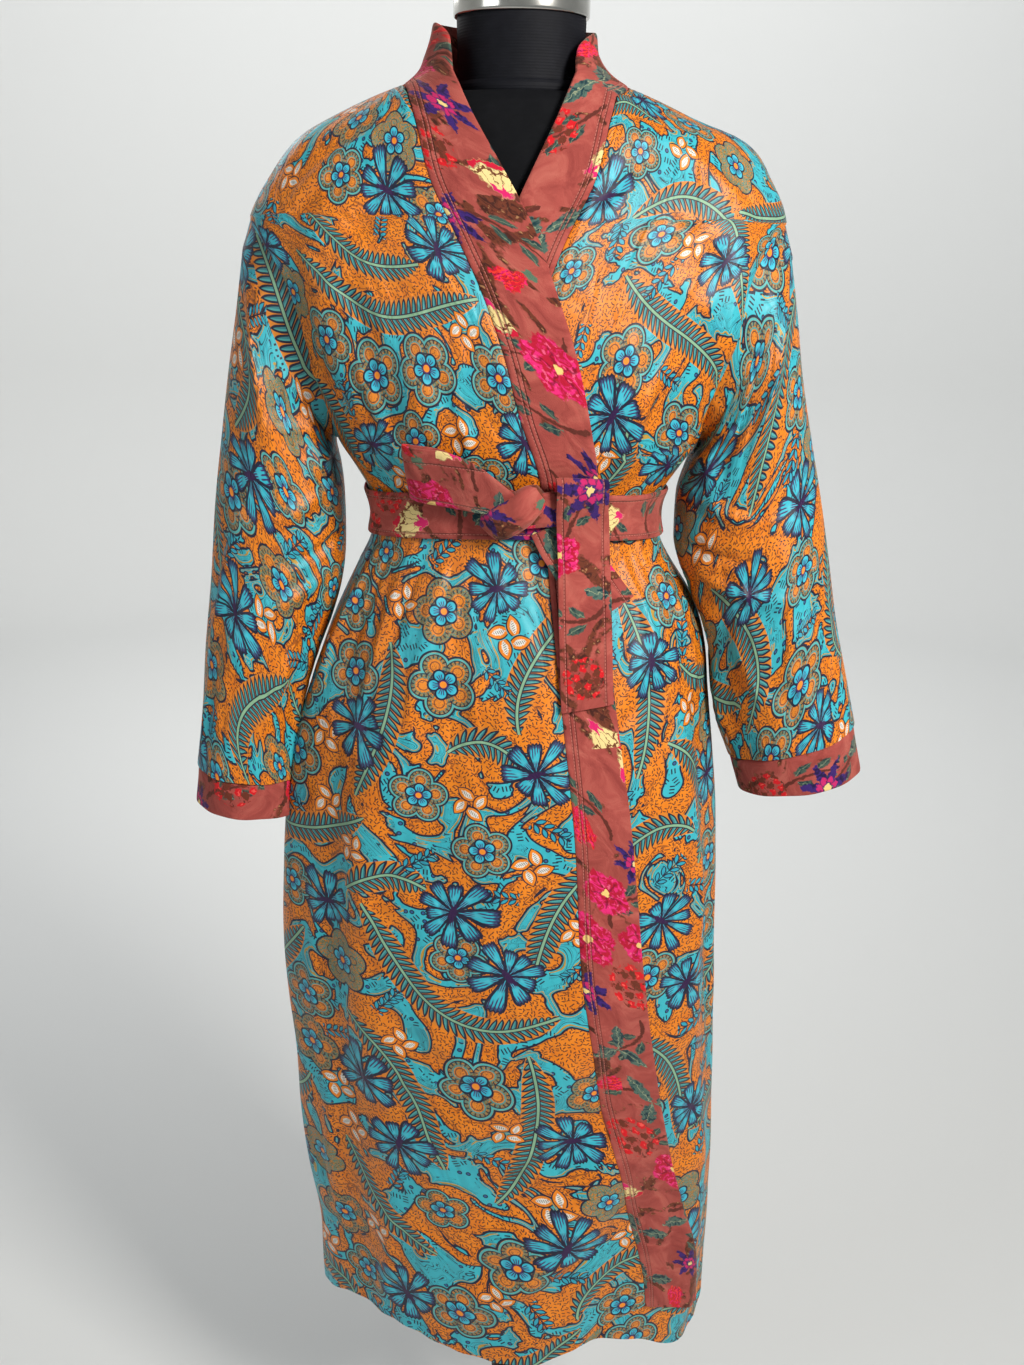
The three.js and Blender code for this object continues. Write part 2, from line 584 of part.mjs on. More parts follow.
function back(columns) {
  const outer = [];
  const inner = [];
  for (const row of panelRows()) {
    const start = sideAngle(row, "back", 1);
    const end = sideAngle(row, "back", -1);
    const one = [];
    const two = [];
    for (let j = 0; j <= columns; j++) {
      const at = mix(start, end, j / columns);
      const neck = between(NECK_SEAM, "at", "z", at) - SEAM;
      const lift = (neck - SHOULDER_POINT) * ease(BACK_RISE_START, SHOULDER_POINT, row.z);
      const z = row.z + hemLift(at, row.z, "top") + lift;
      one.push(body(at, z, CLOTH));
      two.push(body(at, z, 0));
    }
    outer.push(one);
    inner.push(two);
  }
  wall("back", SATIN, outer, inner);
}

// Bands along the fronts, each turned round the neck to the middle of the back
function band(name, layer, sign, columns) {
  const stations = [];
  for (const row of panelRows()) {
    if (row.z > BAND_TOP) continue;
    const seam = frontAngle(between(FRONTS, "z", layer + "Seam", row.z), row.z);
    const lift = row.z + hemLift(seam, row.z, layer);
    const edgeZ = row.z + between(BAND_RISE, "z", "rise", row.z);
    const edge = frontAngle(between(FRONTS, "z", layer + "Edge", row.z), edgeZ);
    const start = seam - sign * angleOf(SEAM / 2, seam, row.z);
    const raised = lift + SEAM * ease(ARM_TOP, BAND_TOP, row.z);
    stations.push({ seam: start, seamZ: raised, edge, edgeZ: edgeZ + hemLift(edge, row.z, layer) });
  }
  const half = (NECK_BAND.length - 1) / 2;
  const round = sign < 0 ? NECK_BAND.slice(0, half + 1) : NECK_BAND.slice(half).reverse();
  for (const row of round) {
    const join = row === NECK_BAND[half] ? -sign * angleOf(SEAM / 2, row.seam, row.seamZ) : 0;
    const turn = (sign < 0 ? 0 : 360) + join;
    const { seamZ, edgeZ } = row;
    stations.push({ seam: row.seam + turn, seamZ: seamZ + SEAM, edge: row.edge + turn, edgeZ });
  }
  const outer = [];
  const inner = [];
  for (const s of stations) {
    const one = [];
    const two = [];
    for (let j = 0; j <= columns; j++) {
      const at = mix(s.seam, s.edge, j / columns);
      const z = mix(s.seamZ, s.edgeZ, j / columns);
      one.push(body(at, z, outOf(layer, at, z) + VELVET));
      two.push(body(at, z, outOf(layer, at, z)));
    }
    outer.push(one);
    inner.push(two);
  }
  wall(name, VELVET_PINK, outer, inner);
}

// Sleeves
function sleeveFold(turn, along) {
  let sum = 0;
  for (const f of SLEEVE_FOLDS) {
    const s = (along - f.from) / (f.to - f.from);
    if (s <= 0 || s >= 1) continue;
    const off = turn - f.at - f.drift * s;
    if (Math.abs(off) >= f.wide) continue;
    const across = Math.cos((Math.PI / 2) * (off / f.wide)) ** 2;
    sum += f.deep * across * Math.sin(Math.PI * s) ** FOLD_FADE;
  }
  return sum;
}

// Point of an oval ring between its outer and inner end, at a turn from the outer end over the front
function ringPoint(row, turn, inset) {
  const outer = V(row.outX, row.y, row.outZ);
  const inner = V(row.inX, row.y, row.inZ);
  const middle = outer.clone().add(inner).multiplyScalar(0.5);
  const along = outer.sub(inner).multiplyScalar(0.5);
  const half = along.length();
  const c = Math.cos(rad(turn)) * (half - inset);
  const s = Math.sin(rad(turn)) * (row.depth - inset);
  return middle.addScaledVector(along.divideScalar(half), c).add(V(0, -s, 0));
}

// Angle at a side of the body for a turn from its middle to the front or the back
function besideAngle(half, face, sign) {
  if (sign > 0) return face === "back" ? half : 360 - half;
  return face === "back" ? 180 - half : 180 + half;
}

// The same point, moved sideways where it would come closer to the body than the sleeve may
function clearOfBody(point, sign, room) {
  const face = point.y < 0 ? "front" : "back";
  const depth = between(BODY, "z", face, point.z);
  if (Math.abs(point.y) >= depth) return point;
  const at = besideAngle(deg(Math.asin(Math.abs(point.y) / depth)), face, sign);
  const limit = Math.abs(body(at, point.z, outOf("top", at, point.z) + CLOTH).x) + room;
  if (Math.abs(point.x) < limit) point.x = sign * limit;
  return point;
}

// Ring of the sleeve where it is sewn to the armhole
function armholeRing(sign, inset) {
  const points = [];
  for (let k = 0; k < RING_POINTS; k++) {
    const turn = (360 * k) / RING_POINTS;
    const face = turn <= 180 ? "front" : "back";
    const down = turn <= 180 ? turn : 360 - turn;
    const z = armZ(down);
    const depth = between(BODY, "z", face, z);
    const at = besideAngle(deg(Math.asin(armY(down, face) / depth)), face, sign);
    const point = body(at, z, CLOTH / 2);
    const middle = V(point.x, 0, (ARM_TOP + UNDERARM) / 2);
    const inward = middle.sub(point).normalize();
    points.push(point.addScaledVector(inward, inset));
  }
  return points;
}

function sleeveRow(side, along) {
  const row = {};
  for (const column of Object.keys(CUFFS[side])) {
    row[column] = between(SLEEVES[side], "along", column, along);
  }
  return row;
}

function sleeve(side, sign) {
  const first = SLEEVES[side][0].along;
  const outer = [armholeRing(sign, SEAM * 2)];
  const inner = [armholeRing(sign, SEAM * 2 + CLOTH)];
  for (let i = 0; i <= SLEEVE_STEPS; i++) {
    const along = mix(first, 1, i / SLEEVE_STEPS);
    const row = sleeveRow(side, along);
    const one = [];
    const two = [];
    for (let k = 0; k < RING_POINTS; k++) {
      const turn = (360 * k) / RING_POINTS;
      const fold = sleeveFold(turn, along);
      const clear = along < SLEEVE_NEAR ? SLEEVE_CLEAR_TOP : SLEEVE_CLEAR;
      one.push(clearOfBody(ringPoint(row, turn, -fold), sign, clear));
      two.push(clearOfBody(ringPoint(row, turn, CLOTH - fold), sign, clear + CLOTH));
    }
    outer.push(one);
    inner.push(two);
  }
  wall("sleeve_" + side, SATIN, outer, inner, true);
}

function cuff(side, sign) {
  const start = sleeveRow(side, 1);
  const end = CUFFS[side];
  const down = V(end.outX - start.outX, 0, end.outZ - start.outZ).length();
  const outer = [];
  const inner = [];
  for (const s of [CUFF_GAP / down, ...CUFF_STEPS]) {
    const row = {};
    for (const column of Object.keys(end)) row[column] = mix(start[column], end[column], s);
    const one = [];
    const two = [];
    for (let k = 0; k < RING_POINTS; k++) {
      const turn = (360 * k) / RING_POINTS;
      const fold = sleeveFold(turn, 1) * (1 - s);
      one.push(clearOfBody(ringPoint(row, turn, CUFF_INSET - fold), sign, SLEEVE_CLEAR));
      two.push(clearOfBody(ringPoint(row, turn, CUFF_INSET + VELVET - fold), sign, SLEEVE_CLEAR + VELVET));
    }
    outer.push(one);
    inner.push(two);
  }
  wall("cuff_" + side, VELVET_PINK, outer, inner, true);
}

// Belt
function beltOut(at) {
  const over = ease(LAP_RISE.from, LAP_RISE.to, at) * (1 - ease(BELT_FALL.from, BELT_FALL.to, at));
  return BELT_OUT + (LAP + VELVET - CLOTH) * over;
}

function beltMiddle(at) {
  return WAIST + BELT_RISE * Math.max(0, -Math.sin(rad(at))) ** 2;
}

function beltRound(columns) {
  const outer = [];
  const inner = [];
  for (const s of STRIP_STEPS) {
    const one = [];
    const two = [];
    for (let j = 0; j < columns; j++) {
      const at = (360 * j) / columns;
      const z = beltMiddle(at) + s * BELT_WIDTH;
      const flare = BELT_FLARE * (2 * s) ** 2;
      one.push(body(at, z, beltOut(at) + VELVET + flare));
      two.push(body(at, z, beltOut(at) + flare));
    }
    outer.push(one);
    inner.push(two);
  }
  wall("belt_round", VELVET_PINK, outer, inner, true);
}

// Point over the front of the cloth that has this x, this far out
function onFront(x, z, out) {
  let low = 190;
  let high = 350;
  for (let i = 0; i < HALVINGS; i++) {
    const middle = (low + high) / 2;
    if (body(middle, z, out).x < x) low = middle;
    else high = middle;
  }
  return body((low + high) / 2, z, out);
}

// Ribbon laid over the front of the body along the rows of a table, three faces wide
function ribbon(name, rows, steps, thick) {
  const middles = [];
  const numbered = rows.map((row, i) => ({ ...row, i }));
  const path = (column, s) => between(numbered, "i", column, s * (rows.length - 1));
  for (let i = 0; i <= steps; i++) {
    const s = i / steps;
    const wide = path("wide", s);
    const tilt = rad(path("tilt", s));
    const across = { x: Math.sin(tilt) * wide, z: Math.cos(tilt) * wide };
    const line = [];
    for (const c of STRIP_STEPS) {
      line.push(onFront(path("x", s) + across.x * c, path("z", s) + across.z * c, path("out", s)));
    }
    middles.push(line);
  }
  const outer = [];
  const inner = [];
  for (let i = 0; i <= steps; i++) {
    const one = [];
    const two = [];
    for (let j = 0; j < middles[i].length; j++) {
      const before = middles[Math.max(0, i - 1)][j];
      const after = middles[Math.min(steps, i + 1)][j];
      const left = middles[i][Math.max(0, j - 1)];
      const right = middles[i][Math.min(middles[i].length - 1, j + 1)];
      const normal = after.clone().sub(before).cross(right.clone().sub(left)).normalize();
      one.push(middles[i][j].clone().addScaledVector(normal, thick / 2));
      two.push(middles[i][j].clone().addScaledVector(normal, -thick / 2));
    }
    outer.push(one);
    inner.push(two);
  }
  wall(name, VELVET_PINK, outer, inner);
}

function knot() {
  const first = KNOT[0];
  const last = KNOT[KNOT.length - 1];
  const length = Math.hypot(last.x - first.x, last.z - first.z);
  const across = { x: -(last.z - first.z) / length, z: (last.x - first.x) / length };
  const rings = KNOT.map((row) => {
    const ring = [];
    for (let k = 0; k < KNOT_SIDES; k++) {
      const turn = rad((360 * k) / KNOT_SIDES);
      const c = Math.cos(turn) * row.half;
      const s = Math.sin(turn) * row.thick;
      ring.push(onFront(row.x + across.x * c, row.z + across.z * c, KNOT_OUT + row.thick + s));
    }
    return ring;
  });
  stack("belt_knot", VELVET_PINK, rings);
}

// Dress form and stand
function formBody(columns) {
  const rings = FORM.map((row) => {
    const ring = [];
    for (let j = 0; j < columns; j++) {
      const c = Math.cos((2 * Math.PI * j) / columns);
      const s = Math.sin((2 * Math.PI * j) / columns);
      ring.push(V(row.side * c, (s > 0 ? row.back : row.front) * s, row.z));
    }
    return ring;
  });
  stack("form_body", FORM_CLOTH, rings);
}

// Turned solid about the pole's line from an outline
function turned(name, material, outline, segments) {
  const points = outline.map((row) => new THREE.Vector2(row.radius, row.z));
  const mesh = new THREE.Mesh(new THREE.LatheGeometry(points, segments), material);
  mesh.rotation.x = Math.PI / 2;
  mesh.name = name;
  root.add(mesh);
}

back(20);
front("front_right", "top", -1, 18);
front("front_left", "under", 1, 14);
band("band_right", "top", -1, 3);
band("band_left", "under", 1, 3);
for (const [side, sign] of [["right", -1], ["left", 1]]) {
  sleeve(side, sign);
  cuff(side, sign);
}
beltRound(48);
knot();
ribbon("belt_loop", LOOP, 16, VELVET);
ribbon("belt_tail_long", LONG_TAIL, 18, VELVET);
ribbon("belt_tail_short", SHORT_TAIL, 7, VELVET);
formBody(28);
turned("form_neck", FORM_CLOTH, NECK, 32);
turned("neck_cap", CHROME, CAP, 32);
turned("pole", BLACK_METAL, POLE, 20);
turned("base", BLACK_METAL, BASE, 48);

export default root;
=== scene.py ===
import math

import bpy
import numpy as np
from mathutils import Matrix, Vector


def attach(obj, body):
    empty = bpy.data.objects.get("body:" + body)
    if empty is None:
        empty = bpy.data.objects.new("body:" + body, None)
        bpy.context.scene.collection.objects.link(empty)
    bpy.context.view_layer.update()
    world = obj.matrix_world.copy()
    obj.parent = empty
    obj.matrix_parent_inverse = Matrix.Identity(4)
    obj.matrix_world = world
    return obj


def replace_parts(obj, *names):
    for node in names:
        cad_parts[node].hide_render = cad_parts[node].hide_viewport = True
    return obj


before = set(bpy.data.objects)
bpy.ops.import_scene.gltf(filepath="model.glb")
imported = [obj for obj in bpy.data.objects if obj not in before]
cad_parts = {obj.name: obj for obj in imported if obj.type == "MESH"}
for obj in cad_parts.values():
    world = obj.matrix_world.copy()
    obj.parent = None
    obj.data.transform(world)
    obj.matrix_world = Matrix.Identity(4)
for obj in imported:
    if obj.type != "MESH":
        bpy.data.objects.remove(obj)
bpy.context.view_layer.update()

# Kimono robe on a limbless dress form with a round stand.
# Tables are in millimetres and degrees. Angles go round the body: 0 is the side at +X, 90 the back,
# 180 the side at -X and 270 the front. Meshes are made in metres.

MM = 0.001
IN_MM = 1000.0
TURN = 2 * math.pi

# Driving sizes of the robe
HEM = 320
UNDERARM = 1284
ARM_TOP = 1488
SHOULDER_POINT = 1600
BAND_TOP = 1589
WAIST = 1220
CLOTH = 2.0
VELVET = 3.0
SEAM = 0.3
LAP = 4.0
BELT_WIDTH = 48
BELT_OUT = 3.2
BELT_FLARE = 0.8
BELT_RISE = 12
SLEEVE_CLEAR = 3.5
SLEEVE_CLEAR_TOP = 1.8
SLEEVE_NEAR = 0.12
SLEEVE_RUN = 500
CUFF_INSET = 1.5
CUFF_GAP = 0.9
HEM_FADE = 260
FOLD_RADIUS = 160
SLEEVE_RADIUS = 55
FOLD_FADE = 0.7
HALVINGS = 28
CREASE_DEPTH = 1.7
FOLD_DEPTH = 1.55
SLEEVE_CREASE_DEPTH = 2.0
HEM_RIPPLE = 0.9
HEM_STITCH = 12.0
CUT_EDGE = 0.45
VELVET_EDGE = 0.5
KNOT_PLACE = (190.0, 350.0)
FAR = 900.0
MOTIF_LIMIT = 60.0
LINE_LIMIT = 30.0
CLOTH_ANGLE = 35
ROUND_ANGLE = 38
FORM_ANGLE = 40
LAP_TURN = (184, 206)
LAP_THINS = (1530, 1585)
BELT_TURN = (312, 338)


def table(names, *rows):
    """Columns of a table by name"""
    return {name: np.array(column, float) for name, column in zip(names.split(), zip(*rows))}


BODY = table(
    "z left right front back full",
    (300, 208, 228, 152, 150, -0.14),
    (400, 208, 229, 153, 151, -0.1),
    (520, 221, 228, 153, 152, -0.04),
    (640, 225, 223, 154, 153, 0.02),
    (760, 233, 218, 154, 152, 0.05),
    (880, 230, 213, 152, 148, 0.05),
    (980, 220, 204, 146, 142, 0.04),
    (1040, 204, 196, 139, 134, 0.03),
    (1090, 186, 190, 130, 126, 0.02),
    (1130, 169, 176, 121, 118, 0.02),
    (1165, 153, 155, 112, 109, 0.02),
    (1190, 141, 142, 105, 103, 0.02),
    (1216, 137, 138, 102, 101, 0.02),
    (1242, 142, 143, 105, 103, 0.02),
    (1265, 155, 158, 114, 108, 0.02),
    (1285, 168, 172, 121, 112, 0.02),
    (1320, 184, 188, 128, 114, 0.02),
    (1350, 200, 202, 130, 115, 0.02),
    (1390, 222, 222, 128, 116, 0.02),
    (1440, 243, 242, 121, 116, 0.02),
    (1470, 249, 247, 114, 114, 0.02),
    (1488, 247, 246, 109, 112, 0.02),
    (1522, 228, 231, 98, 106, 0.02),
    (1557, 198, 201, 87, 96, 0.01),
    (1573, 169, 160, 82, 89, 0),
    (1590, 131, 122, 77, 82, 0),
    (1600, 104, 96, 74, 77, 0),
    (1610, 91, 80, 72, 73, 0),
    (1625, 84, 68, 70, 70, 0),
    (1640, 79, 65, 68, 69, 0),
    (1660, 75, 63, 66, 68, 0),
)

# Large folds, then the finer creases that lie between them: place, end, width, depth and bow
FOLDS = (
    (203, 1170, 198, 200, 40, 6, 12),
    (221, 1130, 217, 240, 36, -5, -8),
    (240, 1175, 236, 620, 38, 5, 14),
    (262, 1170, 250, 860, 34, -4, 0),
    (300, 790, 228, 560, 40, 6, -34),
    (302, 690, 246, 470, 34, -5, -30),
    (304, 600, 252, 372, 40, 6, -26),
    (274, 430, 282, 220, 40, 5, 6),
    (306, 520, 300, 240, 34, -5, 0),
    (322, 1160, 330, 640, 36, 5, 10),
    (338, 1080, 342, 520, 34, -4, 0),
    (333, 640, 326, 200, 38, 6, -8),
    (232, 1530, 222, 1262, 30, 5, 8),
    (250, 1400, 238, 1255, 24, 4, 0),
    (316, 1530, 326, 1262, 30, 5, -8),
    (296, 1400, 308, 1255, 24, 4, 0),
    (318, 1440, 338, 1360, 26, 4, 10),
    (20, 1150, 16, 200, 38, 5, 8),
    (42, 1170, 40, 240, 36, -5, -8),
    (66, 1170, 60, 200, 42, 6, 10),
    (92, 1165, 96, 340, 36, -5, -6),
    (116, 1170, 122, 200, 42, 6, 8),
    (140, 1150, 144, 420, 34, -5, 0),
    (160, 1120, 164, 200, 36, 5, -6),
    (60, 1500, 52, 1262, 32, 5, 6),
    (90, 1420, 88, 1258, 28, 4, 0),
    (120, 1500, 130, 1262, 32, 5, -6),
)
CREASES = (
    (209, 1196, 204, 1010, 10, 2.4, 3),
    (217, 1198, 214, 1060, 8, -1.8, -2),
    (227, 1197, 224, 950, 11, 2.2, -4),
    (236, 1199, 232, 1075, 8, -1.8, 2),
    (246, 1197, 243, 1010, 10, 2.2, 3),
    (255, 1198, 252, 1090, 8, -1.6, 0),
    (265, 1196, 259, 985, 11, 2.2, 5),
    (276, 1197, 279, 1080, 8, -1.5, 0),
    (313, 1197, 316, 1020, 10, 2.2, 0),
    (323, 1198, 327, 1090, 8, -1.8, -2),
    (333, 1197, 337, 990, 11, 2.4, 3),
    (345, 1198, 350, 1070, 9, -1.8, 0),
    (12, 1197, 9, 1000, 11, 2.2, 3),
    (27, 1198, 25, 1080, 9, -1.8, 0),
    (41, 1197, 38, 1010, 11, 2.4, -3),
    (57, 1198, 55, 1070, 9, -1.8, 2),
    (74, 1197, 73, 980, 12, 2.2, 4),
    (88, 1198, 88, 1085, 9, -1.6, 0),
    (103, 1197, 105, 1000, 11, 2.3, -4),
    (119, 1198, 121, 1080, 9, -1.8, 0),
    (134, 1197, 137, 1010, 12, 2.3, 3),
    (152, 1198, 155, 1065, 9, -1.8, 0),
    (168, 1197, 171, 1000, 11, 2.2, -3),
    (296, 770, 238, 650, 15, 2.6, -14),
    (298, 640, 254, 520, 13, -2.2, -12),
    (299, 560, 250, 440, 14, 2.6, -14),
    (300, 480, 262, 384, 12, -2, -10),
    (238, 520, 228, 330, 13, 2.2, 4),
    (214, 640, 210, 420, 13, 2.2, 0),
    (222, 900, 213, 700, 14, 2.2, 6),
    (246, 940, 236, 800, 12, -1.8, 4),
    (270, 900, 262, 770, 12, 1.8, 5),
    (330, 900, 322, 720, 13, 2.2, -4),
    (344, 820, 347, 600, 12, -2, 0),
    (316, 500, 322, 350, 12, 2, 0),
    (100, 760, 112, 520, 15, 2.4, 8),
    (62, 700, 52, 480, 15, 2.4, -8),
    (80, 520, 74, 340, 13, -2, 0),
    (132, 600, 138, 380, 13, 2.2, 0),
    (28, 820, 22, 560, 13, 2.2, 4),
    (212, 1258, 205, 1392, 10, 2.4, 3),
    (223, 1257, 217, 1352, 8, -1.8, 0),
    (234, 1258, 229, 1378, 10, 2.2, -3),
    (245, 1257, 242, 1330, 8, -1.6, 0),
    (256, 1258, 254, 1350, 9, 1.8, 3),
    (292, 1258, 296, 1346, 9, 1.8, 0),
    (303, 1257, 309, 1392, 10, 2.2, -4),
    (315, 1258, 322, 1358, 9, -1.8, 0),
    (327, 1257, 333, 1382, 10, 2.4, 4),
    (340, 1258, 345, 1346, 8, -1.6, 0),
    (26, 1256, 30, 1380, 11, 2.2, 0),
    (46, 1257, 48, 1350, 9, -1.8, 3),
    (67, 1256, 66, 1390, 11, 2.2, 0),
    (84, 1257, 84, 1345, 9, -1.6, 0),
    (104, 1256, 106, 1386, 11, 2.3, 0),
    (124, 1257, 123, 1352, 9, -1.8, -3),
    (146, 1256, 142, 1380, 11, 2.2, 0),
    (236, 1560, 214, 1478, 14, 2.2, 8),
    (246, 1500, 224, 1430, 13, -1.8, 6),
    (240, 1452, 220, 1392, 13, 2, 6),
    (304, 1560, 326, 1478, 14, 2.2, -8),
    (296, 1500, 318, 1426, 13, -1.8, -6),
    (302, 1440, 324, 1378, 13, 2, -6),
    (58, 1560, 44, 1470, 15, 2, 4),
    (122, 1560, 136, 1470, 15, 2, -4),
)

HEM_LINE = table(
    "at top under",
    (0, 2, 2), (90, -4, -4), (180, 2, 2), (200, 13, 19), (220, 26, 32), (240, 21, 28), (262, 7, 14),
    (284, 5, 9), (300, 22, 4), (314, 34, -14), (330, 6, -42), (346, -12, -34), (360, 2, 2),
)

# x of the seam and of the free edge of the two front bands
FRONTS = table(
    "z topSeam topEdge underSeam underEdge",
    (290, 152, 219, -106, -160),
    (380, 144, 204, -104, -158),
    (463, 130, 186, -100, -154),
    (542, 114, 170, -92, -147),
    (642, 92, 151, -80, -136),
    (758, 72, 133, -66, -124),
    (938, 58, 112, -54, -108),
    (1063, 43, 93, -42, -94),
    (1214, 26, 78, -26, -78),
    (1270, 20, 72, -18, -70),
    (1320, 3, 63, -6, -62),
    (1375, -12, 50, 8, -50),
    (1428, -32, 32, 24, -34),
    (1473, -54, 15, 42, -14),
    (1517, -76, -9, 64, 6),
    (1566, -90, -42, 77, 33),
    (1589, -98, -58, 83, 47),
)
BAND_RISE = table("z rise", (1480, 0), (1530, 2), (1566, 9), (1589, 20))
NECK_BAND = table(
    "seam seamZ edge edgeZ",
    (213, 1594, 225, 1626),
    (190, 1600, 217, 1641),
    (168, 1602, 198, 1651),
    (145, 1603, 165, 1655),
    (118, 1604, 128, 1656),
    (90, 1604, 90, 1656),
    (62, 1604, 52, 1655),
    (35, 1603, 15, 1650),
    (12, 1602, -16, 1644),
    (-10, 1600, -38, 1634),
    (-34, 1594, -50, 1618),
)
NECK_SEAM = {"at": NECK_BAND["seam"][::-1], "z": NECK_BAND["seamZ"][::-1]}
ARMHOLE = {"frontTop": 80, "frontBottom": 52, "backTop": 72, "backBottom": 56}

RING = "along outX outZ inX inZ depth y"
SLEEVES = {
    "right": table(
        RING,
        (0.07, -257, 1462, -176, 1286, 66, 2),
        (0.18, -265, 1408, -175, 1275, 68, 0),
        (0.29, -275, 1350, -171, 1259, 69, -2),
        (0.4, -284, 1290, -168, 1235, 66, -5),
        (0.52, -293, 1225, -167, 1196, 63, -9),
        (0.65, -300, 1150, -172, 1144, 60, -14),
        (0.78, -308, 1080, -193, 1074, 58, -20),
        (0.89, -313, 1018, -206, 1010, 56, -26),
        (1, -320, 962, -212, 950, 54, -32),
    ),
    "left": table(
        RING,
        (0.07, 254, 1460, 178, 1286, 66, 2),
        (0.18, 263, 1408, 172, 1275, 68, 0),
        (0.29, 272, 1350, 164, 1259, 69, -2),
        (0.4, 284, 1293, 157, 1235, 66, -5),
        (0.52, 297, 1235, 156, 1196, 63, -9),
        (0.65, 308, 1178, 170, 1146, 60, -14),
        (0.78, 320, 1112, 189, 1086, 58, -20),
        (0.89, 332, 1062, 198, 1030, 57, -25),
        (1, 344, 1012, 219, 975, 56, -30),
    ),
}
CUFFS = {
    "right": {"outX": -323, "outZ": 921, "inX": -213, "inZ": 913, "depth": 52, "y": -35},
    "left": {"outX": 354, "outZ": 962, "inX": 229, "inZ": 940, "depth": 54, "y": -33},
}
SLEEVE_FOLDS = (
    (60, -0.1, 0.5, 26, 5, 20),
    (110, 0.05, 0.6, 24, -5, 24),
    (78, 0.5, 1.1, 26, 5, -16),
    (132, 0.55, 1.1, 24, -4, 10),
    (250, 0, 0.7, 28, 5, -20),
    (292, 0.4, 1.1, 26, -4, 14),
)

# Finer creases of a sleeve: turn and distance down it, at both ends
SLEEVE_CREASES = (
    (40, 40, 90, 190, 11, 2.4, 6),
    (86, 60, 120, 170, 9, -2, -4),
    (140, 50, 96, 150, 11, 2.2, 6),
    (168, 70, 120, 240, 12, 2.6, -8),
    (150, 180, 84, 262, 11, 2.4, 8),
    (166, 250, 92, 300, 10, -2.2, 8),
    (150, 300, 70, 352, 11, 2.6, 6),
    (60, 250, 34, 400, 10, 2, 0),
    (130, 360, 96, 470, 10, 2.2, 4),
    (74, 380, 62, 480, 9, -1.8, 0),
    (40, 400, 28, 490, 9, 2, 0),
    (152, 400, 158, 490, 9, 1.8, 0),
    (220, 60, 262, 200, 12, 2.4, -6),
    (200, 200, 270, 290, 12, 2.4, -8),
    (300, 80, 286, 260, 12, 2.2, 4),
    (236, 330, 280, 420, 11, -2, -6),
    (320, 300, 310, 470, 11, 2.2, 4),
    (206, 400, 212, 490, 9, 2, 0),
)

STRIP = "x z out wide tilt"
LONG_TAIL = table(
    STRIP,
    (58, 1240, 14.2, 45, 90),
    (58, 1258, 15, 46, 90),
    (59, 1270, 17.4, 47, 91),
    (59, 1275, 21, 47, 92),
    (60, 1271, 25, 47, 91),
    (60, 1256, 27, 47, 90),
    (61, 1228, 25, 48, 89),
    (63, 1187, 20.4, 48, 87),
    (65, 1140, 15.4, 49, 86),
    (67, 1095, 11, 49, 85),
    (69, 1054, 9.4, 49, 84),
)
SHORT_TAIL = table(
    STRIP,
    (30, 1222, 14.4, 36, 60),
    (42, 1204, 14.4, 43, 60),
    (58, 1181, 13, 46, 59),
    (75, 1159, 11, 47, 60),
    (90, 1140, 9.8, 47, 64),
)
LOOP = table(
    STRIP,
    (2, 1246, 14.6, 22, 30),
    (-14, 1254, 14.6, 26, 22),
    (-28, 1261, 14.6, 31, 8),
    (-45, 1267, 14.4, 41, -4),
    (-68, 1273, 14.2, 48, -6),
    (-90, 1276, 14.6, 49, -7),
    (-98, 1277, 18, 49, -7),
    (-90, 1276, 21.6, 49, -7),
    (-68, 1274, 23.4, 49, -4),
    (-45, 1269, 24.6, 45, 4),
    (-26, 1261, 25.4, 38, 16),
    (-12, 1253, 25, 31, 26),
    (2, 1245, 23, 24, 32),
)
KNOT = table(
    "x z half thick",
    (23, 1262, 8, 5),
    (15, 1257, 14, 9),
    (4, 1247, 18, 12),
    (-9, 1235, 20, 12),
    (-18, 1225, 18, 10),
    (-25, 1217, 11, 5),
)
KNOT_OUT = 12.5
FOLD_SQUARE = 0.72
WRAP = table(
    "x z half thick",
    (-6, 1238, 13, 3),
    (8, 1240, 18, 5.5),
    (24, 1242, 19.5, 5),
    (42, 1244, 18, 4),
    (54, 1246, 15, 2.5),
)
WRAP_OUT = 13.5

FORM = table(
    "z side front back",
    (905, 160, 122, 122),
    (925, 170, 130, 130),
    (1000, 172, 126, 126),
    (1060, 166, 118, 116),
    (1120, 150, 104, 103),
    (1170, 134, 94, 93),
    (1214, 126, 89, 88),
    (1260, 134, 95, 92),
    (1310, 148, 108, 98),
    (1360, 156, 116, 101),
    (1410, 160, 112, 102),
    (1460, 178, 103, 101),
    (1505, 190, 94, 96),
    (1535, 188, 86, 90),
    (1557, 176, 79, 84),
    (1573, 158, 74, 78),
    (1588, 119, 68, 72),
    (1594, 84, 63, 66),
)


# Sizes along the tables
def mix(a, b, s):
    return a + (b - a) * s


def ease(a, b, x):
    s = np.clip((x - a) / (b - a), 0, 1)
    return s * s * (3 - 2 * s)


